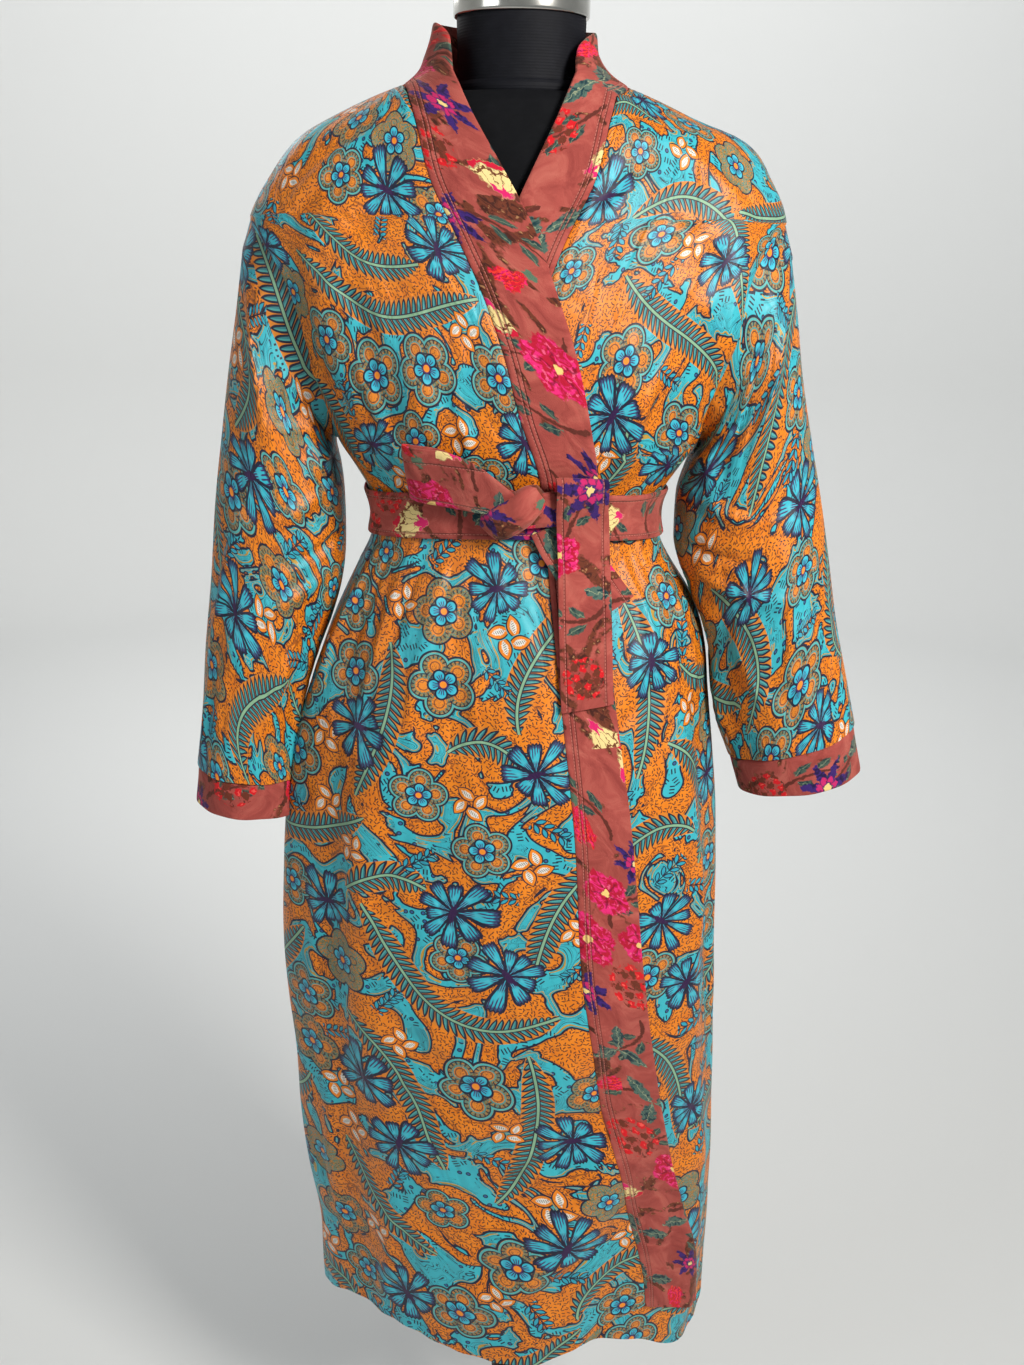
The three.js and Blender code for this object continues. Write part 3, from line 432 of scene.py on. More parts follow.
def between(rows, key, column, at):
    """Value of a column between the rows, on a smooth curve that doesn't overshoot them"""
    xs, ys = rows[key], rows[column]
    x = np.clip(at, xs[0], xs[-1])
    slope = np.diff(ys) / np.diff(xs)
    before, after = slope[:-1], slope[1:]
    limit = 3 * np.minimum(abs(before), abs(after))
    inner = np.where(before * after <= 0, 0, np.clip((before + after) / 2, -limit, limit))
    tangent = np.concatenate([slope[:1], inner, slope[-1:]])
    i = np.clip(np.searchsorted(xs, x) - 1, 0, len(xs) - 2)
    h = xs[i + 1] - xs[i]
    s = (x - xs[i]) / h
    start = (1 + 2 * s) * (1 - s) ** 2 * ys[i] + s * (1 - s) ** 2 * h * tangent[i]
    return start + s * s * (3 - 2 * s) * ys[i + 1] + s * s * (s - 1) * h * tangent[i + 1]


def unit(vectors):
    return vectors / np.linalg.norm(vectors, axis=-1, keepdims=True)


# The robe's surface
def depth_at(behind, z):
    """Depth of the body at this height, on the back or the front"""
    return np.where(behind, between(BODY, "z", "back", z), between(BODY, "z", "front", z))


def section(at, z):
    at, z = np.broadcast_arrays(np.asarray(at, float), np.asarray(z, float))
    c, s = np.cos(np.radians(at)), np.sin(np.radians(at))
    side = np.where(c > 0, between(BODY, "z", "right", z), between(BODY, "z", "left", z))
    full = between(BODY, "z", "full", z)
    return np.stack([side * c * (1 + full * s * s), depth_at(s > 0, z) * s * (1 + full * c * c), z], -1)


def outward(at, z):
    around = section(at + 0.05, z) - section(at - 0.05, z)
    up = section(at, z + 0.5) - section(at, z - 0.5)
    return unit(np.cross(around, up))


def raised(s, off, wide, deep):
    """Height of a fold at a share of its length, this far beside its line"""
    near = (s > 0) & (s < 1) & (abs(off) < wide)
    shape = np.cos(math.pi / 2 * off / wide) ** 2 * np.sin(math.pi * np.clip(s, 0, 1)) ** FOLD_FADE
    return np.where(near, deep * shape, 0)


def soft_lines(rows, at, z, radius):
    """How far a table of folds pushes the cloth out"""
    total = np.zeros(np.broadcast(at, z).shape)
    for start, start_z, end, end_z, wide, deep, bow in rows:
        ax, az = math.radians(end - start) * radius, end_z - start_z
        length = math.hypot(ax, az)
        px, pz = np.radians(at - start) * radius, z - start_z
        s = (px * ax + pz * az) / length**2
        off = (px * az - pz * ax) / length - bow * 4 * s * (1 - s)
        total += raised(s, off, wide, deep)
    return total


def belt_middle(at):
    return WAIST + BELT_RISE * np.maximum(0, -np.sin(np.radians(at))) ** 2


def ripples(turn, z):
    """Shallow waves all over the cloth, and those of the hem"""
    a = np.radians(turn)
    low = 1 - ease(HEM + 10, HEM + 90, z)
    broad = 0.5 * np.sin(z / 23 + a * 7) * np.sin(a * 19 - z / 61)
    return broad + HEM_RIPPLE * np.sin(a * 31 + 2 * np.sin(a * 3)) * low


def uncovered(turn, z):
    """1 where neither the belt nor its ends hold the cloth"""
    across = ease(274, 284, turn) * (1 - ease(306, 314, turn))
    ends = across * ease(1030, 1050, z) * (1 - ease(1250, 1262, z))
    return ease(20, 44, abs(z - belt_middle(turn))) * (1 - ends)


def body(at, z, out, fine=True):
    """Point of the cloth, out from its inner face; fine adds the creases that no other piece covers"""
    turn = np.mod(at, 360)
    depth = soft_lines(FOLDS, turn, z, FOLD_RADIUS)
    if fine:
        loose = uncovered(turn, z)
        small = CREASE_DEPTH * soft_lines(CREASES, turn, z, FOLD_RADIUS) + ripples(turn, z)
        depth = depth * mix(1, FOLD_DEPTH, loose) + small * loose
    return section(turn, z) + outward(turn, z) * (depth + out)[..., None]


def halved(is_left, low, high, shape):
    """Angle between two others at which the places stop lying to the left"""
    low, high = np.full(shape, low), np.full(shape, high)
    for _ in range(HALVINGS):
        middle = (low + high) / 2
        left = is_left(middle)
        low, high = np.where(left, middle, low), np.where(left, high, middle)
    return (low + high) / 2


def front_angle(x, z):
    return halved(lambda at: section(at, z)[..., 0] < x, 180.0, 360.0, np.shape(z))


def angle_of(distance, at, z):
    return distance / np.linalg.norm(section(at + 0.5, z) - section(at - 0.5, z), axis=-1)


def lap(at, z):
    return LAP * ease(*LAP_TURN, at) * (1 - 0.6 * ease(*LAP_THINS, z))


def hem_lift(at, z, layer):
    return between(HEM_LINE, "at", layer, np.mod(at, 360)) * (1 - ease(HEM, HEM + HEM_FADE, z))


def arm_z(turn):
    return (ARM_TOP + UNDERARM) / 2 + (ARM_TOP - UNDERARM) / 2 * np.cos(np.radians(turn))


def arm_y(turn, face):
    share = (1 + np.cos(np.radians(turn))) / 2
    return np.sin(np.radians(turn)) * mix(ARMHOLE[face + "Bottom"], ARMHOLE[face + "Top"], share)


def panel_rows():
    """Heights of a panel's rows and, beside the armhole, the turn round it"""
    hem = HEM + np.array([0, 1.2, 3])
    skirt = np.linspace(HEM + 8, UNDERARM, 190)[:-1]
    arm = np.linspace(180, 0, 42)
    shoulder = mix(ARM_TOP, BAND_TOP, np.linspace(0, 1, 22)[1:])
    neck = np.array([1591.5, 1594, 1596, 1598, 1600])
    z = np.concatenate([hem, skirt, arm_z(arm), shoulder, neck])
    turn = np.zeros(len(z))
    turn[len(hem) + len(skirt):][:len(arm)] = arm
    return z, turn


def side_angle(z, arm, face, sign):
    depth = between(BODY, "z", face, z)
    turn = np.degrees(np.arcsin(arm_y(arm, face) / depth))
    step = turn + angle_of(SEAM / 2, 0.0 if sign > 0 else 180.0, z)
    if sign > 0:
        return step if face == "back" else 360 - step
    return 180 - step if face == "back" else 180 + step


def band_seam(z, layer):
    low = np.minimum(z, BAND_TOP)
    seam = front_angle(between(FRONTS, "z", layer + "Seam", low), low)
    rows = (213.0, 190.0) if layer == "top" else (326.0, 350.0)
    turned = np.interp(z, [BAND_TOP, 1594, SHOULDER_POINT], [seam[z <= BAND_TOP][-1], *rows])
    return np.where(z <= BAND_TOP, seam, turned)


def spread(count, *, edge=(0.006, 0.016)):
    """Shares across a panel, with finer steps next to its two edges"""
    inner = np.linspace(0, 1, count)[1:-1]
    inner = inner[(inner > edge[-1] * 1.4) & (inner < 1 - edge[-1] * 1.4)]
    return np.concatenate([[0], edge, inner, 1 - np.array(edge[::-1]), [1]])


def rounded(count, side):
    """How much of the wall's thickness is left next to the two edges of a row"""
    shape = np.ones(count)
    shape[:3] = side, mix(side, 1, 0.7), mix(side, 1, 0.94)
    shape[-3:] = shape[2::-1]
    return shape


def walls(at, height, out, thick, edge):
    """Outer and inner face of a piece of cloth, and the smooth surface that it lies on"""
    wall = thick * rounded(at.shape[1], edge)[None]
    return body(at, height, out + wall), body(at, height, out), section(at, height)


def front(layer, sign, columns):
    z, arm = panel_rows()
    side = side_angle(z, arm, "front", sign)
    seam = band_seam(z, layer)
    centre = seam + sign * angle_of(SEAM / 2, seam, z)
    share = spread(columns)
    at = mix(side[:, None], centre[:, None], share[None])
    height = z[:, None] + hem_lift(at, z[:, None], layer)
    out = lap(at, height) if layer == "top" else np.zeros(at.shape)
    return walls(at, height, out, CLOTH, CUT_EDGE)


def back(columns):
    z, arm = panel_rows()
    share = spread(columns)
    at = mix(side_angle(z, arm, "back", 1)[:, None], side_angle(z, arm, "back", -1)[:, None], share[None])
    neck = between(NECK_SEAM, "at", "z", at) - SEAM
    lift = (neck - SHOULDER_POINT) * ease(1528, SHOULDER_POINT, z[:, None])
    height = z[:, None] + hem_lift(at, z[:, None], "top") + lift
    return walls(at, height, np.zeros(at.shape), CLOTH, CUT_EDGE)


def band(layer, sign, columns):
    z, _ = panel_rows()
    z = z[z <= BAND_TOP]
    seam = front_angle(between(FRONTS, "z", layer + "Seam", z), z)
    edge_z = z + between(BAND_RISE, "z", "rise", z)
    edge = front_angle(between(FRONTS, "z", layer + "Edge", z), edge_z)
    start = seam - sign * angle_of(SEAM / 2, seam, z)
    start_z = z + hem_lift(seam, z, layer) + SEAM * ease(ARM_TOP, BAND_TOP, z)
    edge_z = edge_z + hem_lift(edge, z, layer)
    half = (len(NECK_BAND["seam"]) - 1) // 2
    order = np.arange(0, half + 1) if sign < 0 else np.arange(2 * half, half - 1, -1)
    rows = {name: NECK_BAND[name][order] for name in NECK_BAND}
    rows["row"] = np.arange(half + 1, dtype=float)
    steps = np.linspace(0, half, 12 * half + 1)
    turned = {name: between(rows, "row", name, steps) for name in ("seam", "seamZ", "edge", "edgeZ")}
    whole = 0 if sign < 0 else 360
    join = -sign * angle_of(SEAM / 2, 90.0, 1604.0) * (steps == half)
    stations = np.stack([
        np.concatenate([start, turned["seam"] + whole + join]),
        np.concatenate([start_z, turned["seamZ"] + SEAM]),
        np.concatenate([edge, turned["edge"] + whole + join]),
        np.concatenate([edge_z, turned["edgeZ"]]),
    ])
    share = spread(columns, edge=(0.02, 0.055))
    at = mix(stations[0][:, None], stations[2][:, None], share[None])
    height = mix(stations[1][:, None], stations[3][:, None], share[None])
    out = lap(at, height) if layer == "top" else np.zeros(at.shape)
    return walls(at, height, out, VELVET, VELVET_EDGE)


# Sleeves
def sleeve_fold(turn, along, fine):
    total = np.zeros(np.broadcast(turn, along).shape)
    for at, start, end, wide, deep, drift in SLEEVE_FOLDS:
        s = (along - start) / (end - start)
        total += raised(s, turn - at - drift * s, wide, deep)
    if fine:
        creases = soft_lines(SLEEVE_CREASES, turn, along * SLEEVE_RUN, SLEEVE_RADIUS)
        total = total + SLEEVE_CREASE_DEPTH * creases
    return total


def ring_point(row, turn, inset):
    outer = np.stack([row["outX"], row["y"], row["outZ"]], -1)
    inner = np.stack([row["inX"], row["y"], row["inZ"]], -1)
    half = np.linalg.norm(outer - inner, axis=-1) / 2
    along = unit(outer - inner)
    c = np.cos(np.radians(turn)) * (half - inset)
    s = np.sin(np.radians(turn)) * (row["depth"] - inset)
    return (outer + inner) / 2 + along * c[..., None] - s[..., None] * np.array([0, 1.0, 0])


def beside_angle(half, back_side, sign):
    if sign > 0:
        return np.where(back_side, half, 360 - half)
    return np.where(back_side, 180 - half, 180 + half)


def clear_of_body(points, sign, room):
    """The points, moved sideways where they would come closer to the body than a sleeve may"""
    behind = points[..., 1] >= 0
    z = points[..., 2]
    share = np.clip(abs(points[..., 1]) / depth_at(behind, z), 0, 1)
    at = beside_angle(np.degrees(np.arcsin(share)), behind, sign)
    limit = abs(body(at, z, lap(at, z) + CLOTH)[..., 0]) + room
    tight = (share < 1) & (abs(points[..., 0]) < limit)
    moved = points.copy()
    moved[..., 0] = np.where(tight, sign * limit, points[..., 0])
    return moved


def armhole_ring(turn, sign, inset):
    behind = turn > 180
    down = np.where(behind, 360 - turn, turn)
    z = arm_z(down)
    side = np.where(behind, arm_y(down, "back"), arm_y(down, "front"))
    at = beside_angle(np.degrees(np.arcsin(side / depth_at(behind, z))), behind, sign)
    points = body(at, z, np.full(z.shape, CLOTH / 2))
    middle = points * [1, 0, 0] + [0, 0, (ARM_TOP + UNDERARM) / 2]
    return points + unit(middle - points) * inset


def sleeve(side, sign, around, down):
    rows = SLEEVES[side]
    turn = 360 * np.arange(around) / around
    along = np.linspace(rows["along"][0], 1, down)[:, None]
    row = {name: between(rows, "along", name, along) * np.ones(around) for name in CUFFS[side]}
    fold = sleeve_fold(turn, along, True)
    near = mix(SLEEVE_CLEAR_TOP, SLEEVE_CLEAR, ease(0.07, SLEEVE_NEAR, along))
    outer = clear_of_body(ring_point(row, turn, -fold), sign, near)
    inner = clear_of_body(ring_point(row, turn, CLOTH - fold), sign, near + CLOTH)
    rings = []
    for points, inset in ((outer, SEAM * 2), (inner, SEAM * 2 + CLOTH)):
        start = armhole_ring(turn, sign, inset)
        lead = [mix(start, points[0], s) for s in np.linspace(0, 1, 9)[:-1]]
        rings.append(np.concatenate([lead, points]))
    return rings[0], rings[1], rings[0]


def cuff(side, sign, around):
    rows, end = SLEEVES[side], CUFFS[side]
    start = {name: float(rows[name][-1]) for name in end}
    down = math.hypot(end["outX"] - start["outX"], end["outZ"] - start["outZ"])
    share = np.concatenate([[CUFF_GAP / down, 0.05, 0.09], np.linspace(0.14, 0.9, 12), [0.95, 0.985, 1]])
    share = share[:, None]
    turn = 360 * np.arange(around) / around
    a = np.radians(turn)
    row = {name: mix(start[name], end[name], share) * np.ones(around) for name in end}
    fold = sleeve_fold(turn, np.ones((1, 1)), False) * (1 - share)
    wave = 0.9 * np.sin(a * 5 + 1) * ease(0.3, 1, share) + 0.6 * np.sin(a * 9) * share
    thick = VELVET * rounded(len(share), VELVET_EDGE)[:, None]
    outer = ring_point(row, turn, CUFF_INSET - fold - wave + VELVET - thick)
    inner = ring_point(row, turn, CUFF_INSET + VELVET - fold - wave)
    outer = clear_of_body(outer, sign, SLEEVE_CLEAR)
    return outer, clear_of_body(inner, sign, SLEEVE_CLEAR + VELVET), outer


# Belt
def belt_round(columns, rows):
    at = 360 * np.arange(columns) / columns
    share = spread(rows, edge=(0.025, 0.07))[:, None] - 0.5
    over = ease(*LAP_TURN, at) * (1 - ease(*BELT_TURN, at))
    out = BELT_OUT + (LAP + VELVET - CLOTH) * over + BELT_FLARE * (2 * share) ** 2
    z = belt_middle(at) + share * BELT_WIDTH
    at = at * np.ones(share.shape)
    thick = VELVET * rounded(len(share), VELVET_EDGE)[:, None]
    ripple = 0.5 * np.sin(np.radians(at) * 11 + share * 3) * (1 - (2 * share) ** 2)
    return body(at, z, out + thick + ripple, False), body(at, z, out, False), section(at, z)


def on_front(x, z, out):
    """Point over the front of the cloth that has this x, this far out"""
    at = halved(lambda turn: body(turn, z, out, False)[..., 0] < x, *KNOT_PLACE, np.shape(x))
    return body(at, z, out, False)


def rows_along(shape, names, steps):
    """Values of a table at even steps from its first row to its last"""
    rows = dict(shape, row=np.arange(len(shape["x"]), dtype=float))
    along = np.linspace(0, len(shape["x"]) - 1, steps)[:, None]
    return along, {name: between(rows, "row", name, along) for name in names.split()}


def ribbon(rows, steps, columns, cup=0.0):
    """Strip of belt over the front, along the rows of a table"""
    along, get = rows_along(rows, STRIP, steps)
    share = (spread(columns, edge=(0.025, 0.07)) - 0.5)[None]
    tilt = np.radians(get["tilt"])
    x = get["x"] + np.sin(tilt) * get["wide"] * share
    z = get["z"] + np.cos(tilt) * get["wide"] * share
    out = get["out"] + 0.5 - cup * (2 * share) ** 2 + 0.35 * np.sin(along * 2.3 + share * 5)
    middle = on_front(x, z, out)
    ahead = np.gradient(middle, axis=0)
    across = np.gradient(middle, axis=1)
    normal = unit(np.cross(ahead, across))
    thick = VELVET * rounded(share.shape[1], VELVET_EDGE)[None, :, None]
    return middle + normal * thick / 2, middle - normal * thick / 2, middle


def knot(shape, out, steps, around):
    """Rings round a bundle of folded belt, along the rows of its table"""
    along, get = rows_along(shape, "x z half thick", steps)
    run = np.array([shape["x"][-1] - shape["x"][0], shape["z"][-1] - shape["z"][0]])
    run = run / np.linalg.norm(run)
    turn = np.radians(360 * np.arange(around) / around)[None]
    strap = 1 + 0.17 * (ease(0.8, 0.92, turn) - ease(2.15, 2.3, turn))
    dent = 0.16 * np.exp(-(((turn - 1.35 - along * 0.05) / 0.1) ** 2))
    dent = dent + 0.13 * np.exp(-(((turn - 1.9) / 0.09) ** 2))
    pleat = strap - dent * np.sin(math.pi * along / along[-1])
    bulge = 1 + 0.03 * np.sin(3 * along + 2 * turn)
    c = np.sign(np.cos(turn)) * abs(np.cos(turn)) ** FOLD_SQUARE * get["half"] * bulge
    s = np.sign(np.sin(turn)) * abs(np.sin(turn)) ** FOLD_SQUARE * get["thick"] * pleat * bulge
    return on_front(get["x"] - run[1] * c, get["z"] + run[0] * c, out + get["thick"] + s)


# Flat patterns and the places of the motifs on them
def flat_pattern(points, closed, level, first=0, even=0.5):
    """Millimetres across and along the cloth at each point, as if it lay flat"""
    if closed:
        points = np.concatenate([points, points[:, :1]], 1)
    across = np.linalg.norm(np.diff(points, axis=1), axis=-1)
    across = np.concatenate([np.zeros((len(points), 1)), np.cumsum(across, 1)], 1)
    width = across[:, -1:]
    scale = mix(1, width.mean() / np.maximum(width, 1), 1.0 if closed else even)
    u = (across - across[:, first:first + 1]) * scale
    along = np.linalg.norm(np.diff(points, axis=0), axis=-1)
    along = np.concatenate([np.zeros((1, points.shape[1])), np.cumsum(along, 0)], 0)
    along = along - along[level:level + 1]
    v = mix(along, along.mean(1, keepdims=True), 0.3)
    return np.stack([u, v], -1)


CORNERS = ((0, 0), (0, 1), (1, 1), (1, 0))


def corners_of(grid):
    """Values at the four corners of each cell of a grid"""
    rows, columns = grid.shape[:2]
    return np.stack([grid[i:rows - 1 + i, j:columns - 1 + j] for i, j in CORNERS], 2)


def scatter(cells, seed, spacing, clear=0.0, taken=(), tries=2600):
    """Places on the flat cloth, at least spacing apart and clear of the places that are taken"""
    random = np.random.default_rng(seed)
    cells = cells.reshape(-1, 2)
    cells = cells[random.permutation(len(cells))[:tries]]
    taken = np.array(taken, float).reshape(-1, 2)
    found = []
    for spot in cells:
        if len(taken) and np.hypot(*(taken - spot).T).min() < clear:
            continue
        if found and np.hypot(*(np.array(found) - spot).T).min() < spacing:
            continue
        found.append(spot)
    return np.array(found).reshape(-1, 2)


def motif_layer(name, corners, spots, sizes, turns, kinds):
    """Each cell's corners as places on the motif that it belongs to, and the motif's kind"""
    layer = np.full(corners.shape[:3] + (3,), FAR)
    layer[..., 2] = 0
    if not len(spots):
        return layer
    middle = corners.mean(2)
    apart = np.linalg.norm(middle[:, :, None] - spots[None, None], axis=-1) / sizes
    nearest = apart.argmin(-1)
    inside = np.take_along_axis(apart, nearest[..., None], -1)[..., 0] < REACH[name]
    local = corners - spots[nearest][:, :, None]
    c, s = np.cos(turns)[nearest][..., None], np.sin(turns)[nearest][..., None]
    size = sizes[nearest][..., None]
    x = (local[..., 0] * c + local[..., 1] * s) / size
    y = (local[..., 1] * c - local[..., 0] * s) / size
    kind = kinds[nearest][..., None] * np.ones(x.shape)
    layer[inside] = np.stack([x, y, kind], -1)[inside]
    return layer


def curve_layer(name, corners, curves):
    """Each cell's corners as distance along and off the curve that passes it, and its length"""
    layer = np.full(corners.shape[:3] + (3,), FAR)
    layer[..., 2] = 1
    reach = REACH[name]
    best = np.full(corners.shape[:2], reach)
    middle = corners.mean(2)
    for curve in curves:
        step = np.diff(curve, axis=0)
        length = np.linalg.norm(step, axis=-1)
        start = np.concatenate([[0], np.cumsum(length)])
        low, high = curve.min(0) - reach, curve.max(0) + reach
        near = ((middle > low) & (middle < high)).all(-1)
        if not near.any():
            continue
        local = corners[near][:, :, None] - curve[None, None, :-1]
        share = np.clip((local * step).sum(-1) / length**2, 0, 1)
        apart = np.linalg.norm(local - share[..., None] * step, axis=-1)
        along = start[:-1] + share * length
        turn = np.sign(step[:, 0] * local[..., 1] - step[:, 1] * local[..., 0])
        pick = apart.argmin(-1)[..., None]
        off, along, side = (np.take_along_axis(value, pick, -1)[..., 0] for value in (apart, along, turn))
        mean = off.mean(1)
        chosen = mean < best[near]
        kept = np.zeros(best.shape, bool)
        kept[near] = chosen
        layer[kept] = np.stack([along, off * side, np.full(off.shape, start[-1])], -1)[chosen]
        best[kept] = mean[chosen]
    return layer


def bezier(points, steps=26):
    """Smooth curve that starts and ends at the outer points and leans to the inner ones"""
    s = np.linspace(0, 1, steps)[:, None]
    a, b, c, d = np.array(points, float)
    return a * (1 - s) ** 3 + 3 * b * s * (1 - s) ** 2 + 3 * c * s * s * (1 - s) + d * s**3


def bent_line(start, lean, bend, steps, parts):
    """Smooth line from a start; each further point is a sum of steps along its three directions"""
    way = [np.array([math.cos(lean + bend * k), math.sin(lean + bend * k)]) for k in (0, 1, 2)]
    points = [start + sum(length * way[k] for k, length in part) for part in parts]
    return bezier(points, steps)


def spot_at(points, flat, x, z):
    """Place on the flat cloth that shows at this x and height from the front"""
    facing = points[:, :, 1] < np.median(points[:, :, 1]) + 40
    gap = np.hypot(points[..., 0] - x, points[..., 2] - z) + np.where(facing, 0, 1e4)
    i, j = np.unravel_index(gap.argmin(), gap.shape)
    return flat[i, j]


# Satin print: large blooms and fronds that are placed one by one on the fronts and sleeves
BLOOMS = {
    "front_right": (
        (-114, 1508, 1.0), (-70, 1460, 1.05), (-16, 1164, 0.95), (-54, 852, 1.05), (-5, 786, 1.05),
        (-148, 1026, 1.0), (-150, 652, 1.05), (-112, 586, 1.0), (-104, 388, 1.0), (69, 590, 1.0),
        (62, 470, 1.1), (-182, 840, 0.9), (-130, 1292, 0.9),
    ),
    "front_left": (
        (84, 1322, 1.1), (182, 1452, 0.9), (140, 1270, 0.85), (151, 828, 0.95), (178, 752, 0.95),
        (130, 1090, 0.9), (196, 420, 0.95),
    ),
    "sleeve_right": ((-267, 1123, 1.05), (-246, 1258, 0.95)),
    "sleeve_left": ((178, 1262, 1.0), (270, 1236, 0.95), (222, 1150, 0.9)),
}
FRONDS = {
    "front_right": (
        (-196, 1462, -120, 1380, -110, 1400, -34, 1418),
        (-186, 1492, -150, 1440, -120, 1440, -86, 1452),
        (-190, 1350, -172, 1300, -176, 1280, -168, 1236),
        (-146, 852, -100, 772, -60, 690, 52, 742),
        (-162, 862, -130, 890, -110, 890, -82, 872),
        (-116, 1110, -100, 1060, -136, 1000, -150, 960),
        (-166, 730, -120, 700, -90, 640, -66, 560),
        (-60, 1010, -20, 1040, 10, 1010, 34, 960),
        (-170, 560, -140, 500, -120, 470, -70, 450),
        (20, 700, 40, 640, 30, 560, -10, 520),
    ),
    "front_left": (
        (96, 1490, 150, 1530, 196, 1500, 200, 1400),
        (92, 1440, 130, 1380, 170, 1400, 196, 1340),
        (96, 1160, 130, 1100, 140, 1040, 120, 980),
        (120, 700, 170, 680, 190, 620, 180, 560),
        (150, 1010, 190, 980, 196, 930, 186, 880),
    ),
    "sleeve_right": (
        (-300, 1060, -270, 1010, -240, 1000, -220, 1060),
        (-262, 1420, -240, 1360, -236, 1330, -262, 1300),
    ),
    "sleeve_left": (
        (190, 1150, 240, 1120, 250, 1060, 230, 1010),
        (300, 1180, 290, 1120, 310, 1080, 324, 1050),
    ),
}


# How far apart the motifs are drawn and how clear of others, and how far each one reaches
SPACING = {
    "bloom": (128, 150), "frond": (150, 72), "halo": (59, 45), "seed": (40, 44), "spray": (52,), "twig": (62,)
}
REACH = {"bloom": 50, "frond": 21, "halo": 40, "seed": 25, "spray": 34, "twig": 17}

# Points of a frond and of a twig: steps along the line's three directions, in millimetres
FROND_STEPS = (((1, -70),), ((1, -70), (0, 52)), ((1, 30),), ((1, 40), (2, 46)))
TWIG_STEPS = ((), ((0, 22),), ((1, 44),), ((1, 50), (2, 20)))
LENS_SHARE = 0.42
FROND_CLEAR = 22
MORE_TRIES = 5000
SPRAYS = 6


def hem_layer(points):
    """Millimetres above the hem at the corners of each cell"""
    step = np.linalg.norm(np.diff(points, axis=0), axis=-1)
    rise = np.concatenate([np.zeros((1, points.shape[1])), np.cumsum(step, 0)], 0)
    return corners_of(np.stack([rise, rise, rise], -1))


def satin_layers(name, flat, points, seed):
    """The print's motifs at the corners of each cell of a satin piece"""
    random = np.random.default_rng(seed)
    corners = corners_of(flat)
    cells = corners.mean(2)

    def drawn(low, high, spots):
        return random.uniform(low, high, len(spots))

    grid = points if points.shape[1] == flat.shape[1] else np.concatenate([points, points[:, :1]], 1)
    placed = [(spot_at(grid, flat, x, z), size) for x, z, size in BLOOMS.get(name, ())]
    blooms = np.array([spot for spot, _ in placed]).reshape(-1, 2)
    more = scatter(cells, seed, *SPACING["bloom"], blooms)
    blooms = np.concatenate([blooms, more])
    sizes = np.concatenate([[size for _, size in placed], 0.85 + 0.25 * random.random(len(more))])
    curves = []
    for row in FRONDS.get(name, ()):
        curves.append(bezier([spot_at(grid, flat, *row[k:k + 2]) for k in (0, 2, 4, 6)]))
    spines = np.concatenate([np.zeros((0, 2)), *curves])
    for middle in scatter(cells, seed + 1, *SPACING["frond"], np.concatenate([blooms, spines])):
        lean = random.uniform(0, TURN)
        bend = random.choice([-1, 1]) * random.uniform(0.5, 1.0)
        curves.append(bent_line(middle, lean, bend, 26, FROND_STEPS))
    spines = np.concatenate([np.zeros((0, 2)), *curves])
    halos = scatter(cells, seed + 2, *SPACING["halo"], np.concatenate([blooms, spines]), MORE_TRIES)
    seeds = scatter(cells, seed + 3, *SPACING["seed"], np.concatenate([halos, blooms]), MORE_TRIES)
    far = [not len(spines) or np.hypot(*(spines - spot).T).min() > FROND_CLEAR for spot in seeds]
    seeds = seeds[np.array(far, bool)]
    return {
        "bloom": motif_layer("bloom", corners, blooms, sizes, drawn(0, TURN, blooms), drawn(0, 10, blooms)),
        "halo": motif_layer(
            "halo", corners, halos, drawn(0.82, 1.1, halos), drawn(0, TURN, halos), drawn(0, 10, halos)
        ),
        "frond": curve_layer("frond", corners, curves),
        "seed": motif_layer(
            "seed", corners, seeds, drawn(0.78, 1.0, seeds), drawn(0, TURN, seeds),
            (random.random(len(seeds)) > LENS_SHARE).astype(float),
        ),
    }


def velvet_layers(flat, seed):
    """The same for a velvet piece"""
    random = np.random.default_rng(seed)
    corners = corners_of(flat)
    cells = corners.mean(2)
    spots = scatter(cells, seed, *SPACING["spray"])
    twigs = []
    for start in scatter(cells, seed + 1, *SPACING["twig"]):
        lean, bend = random.uniform(0, TURN), random.uniform(-0.9, 0.9)
        twigs.append(bent_line(start, lean, bend, 14, TWIG_STEPS))
    count = len(spots)
    kinds = random.permutation(np.arange(count) + random.integers(0, SPRAYS)) % SPRAYS
    sizes, turns = random.uniform(0.95, 1.35, count), random.uniform(0, TURN, count)
    return {
        "spray": motif_layer("spray", corners, spots, sizes, turns, kinds.astype(float)),
        "twig": curve_layer("twig", corners, twigs),
    }


# Meshes
def linked(name, mesh, material):
    """New object for a mesh, selected and active"""
    piece = bpy.data.objects.new(name, mesh)
    bpy.context.scene.collection.objects.link(piece)
    mesh.materials.append(material)
    bpy.ops.object.select_all(action="DESELECT")
    piece.select_set(True)
    bpy.context.view_layer.objects.active = piece
    return piece


def mesh_piece(name, points, faces, material):
    mesh = bpy.data.meshes.new(name)
    mesh.from_pydata((points * MM).tolist(), [], faces)
    mesh.update()
    return linked(name, mesh, material)


def smooth_below(piece, angle):
    """Smooth shading, but for the edges that are sharper than an angle"""
    bpy.ops.object.shade_smooth_by_angle(angle=math.radians(angle))
    return piece


def keep_layers(mesh, uvs, layers):
    """Store the flat pattern in metres, and the print's motifs, at the corners of the faces"""
    mesh.uv_layers.new(name="flat").data.foreach_set("uv", (uvs * MM).astype(np.float32).ravel())
    for key, value in layers.items():
        kept = mesh.attributes.new(key, "FLOAT_VECTOR", "CORNER")
        kept.data.foreach_set("vector", value.astype(np.float32).ravel())


def cells_of(rows, columns):
    """Row and column of each cell of a grid"""
    return (grid.ravel() for grid in np.meshgrid(np.arange(rows), np.arange(columns), indexing="ij"))


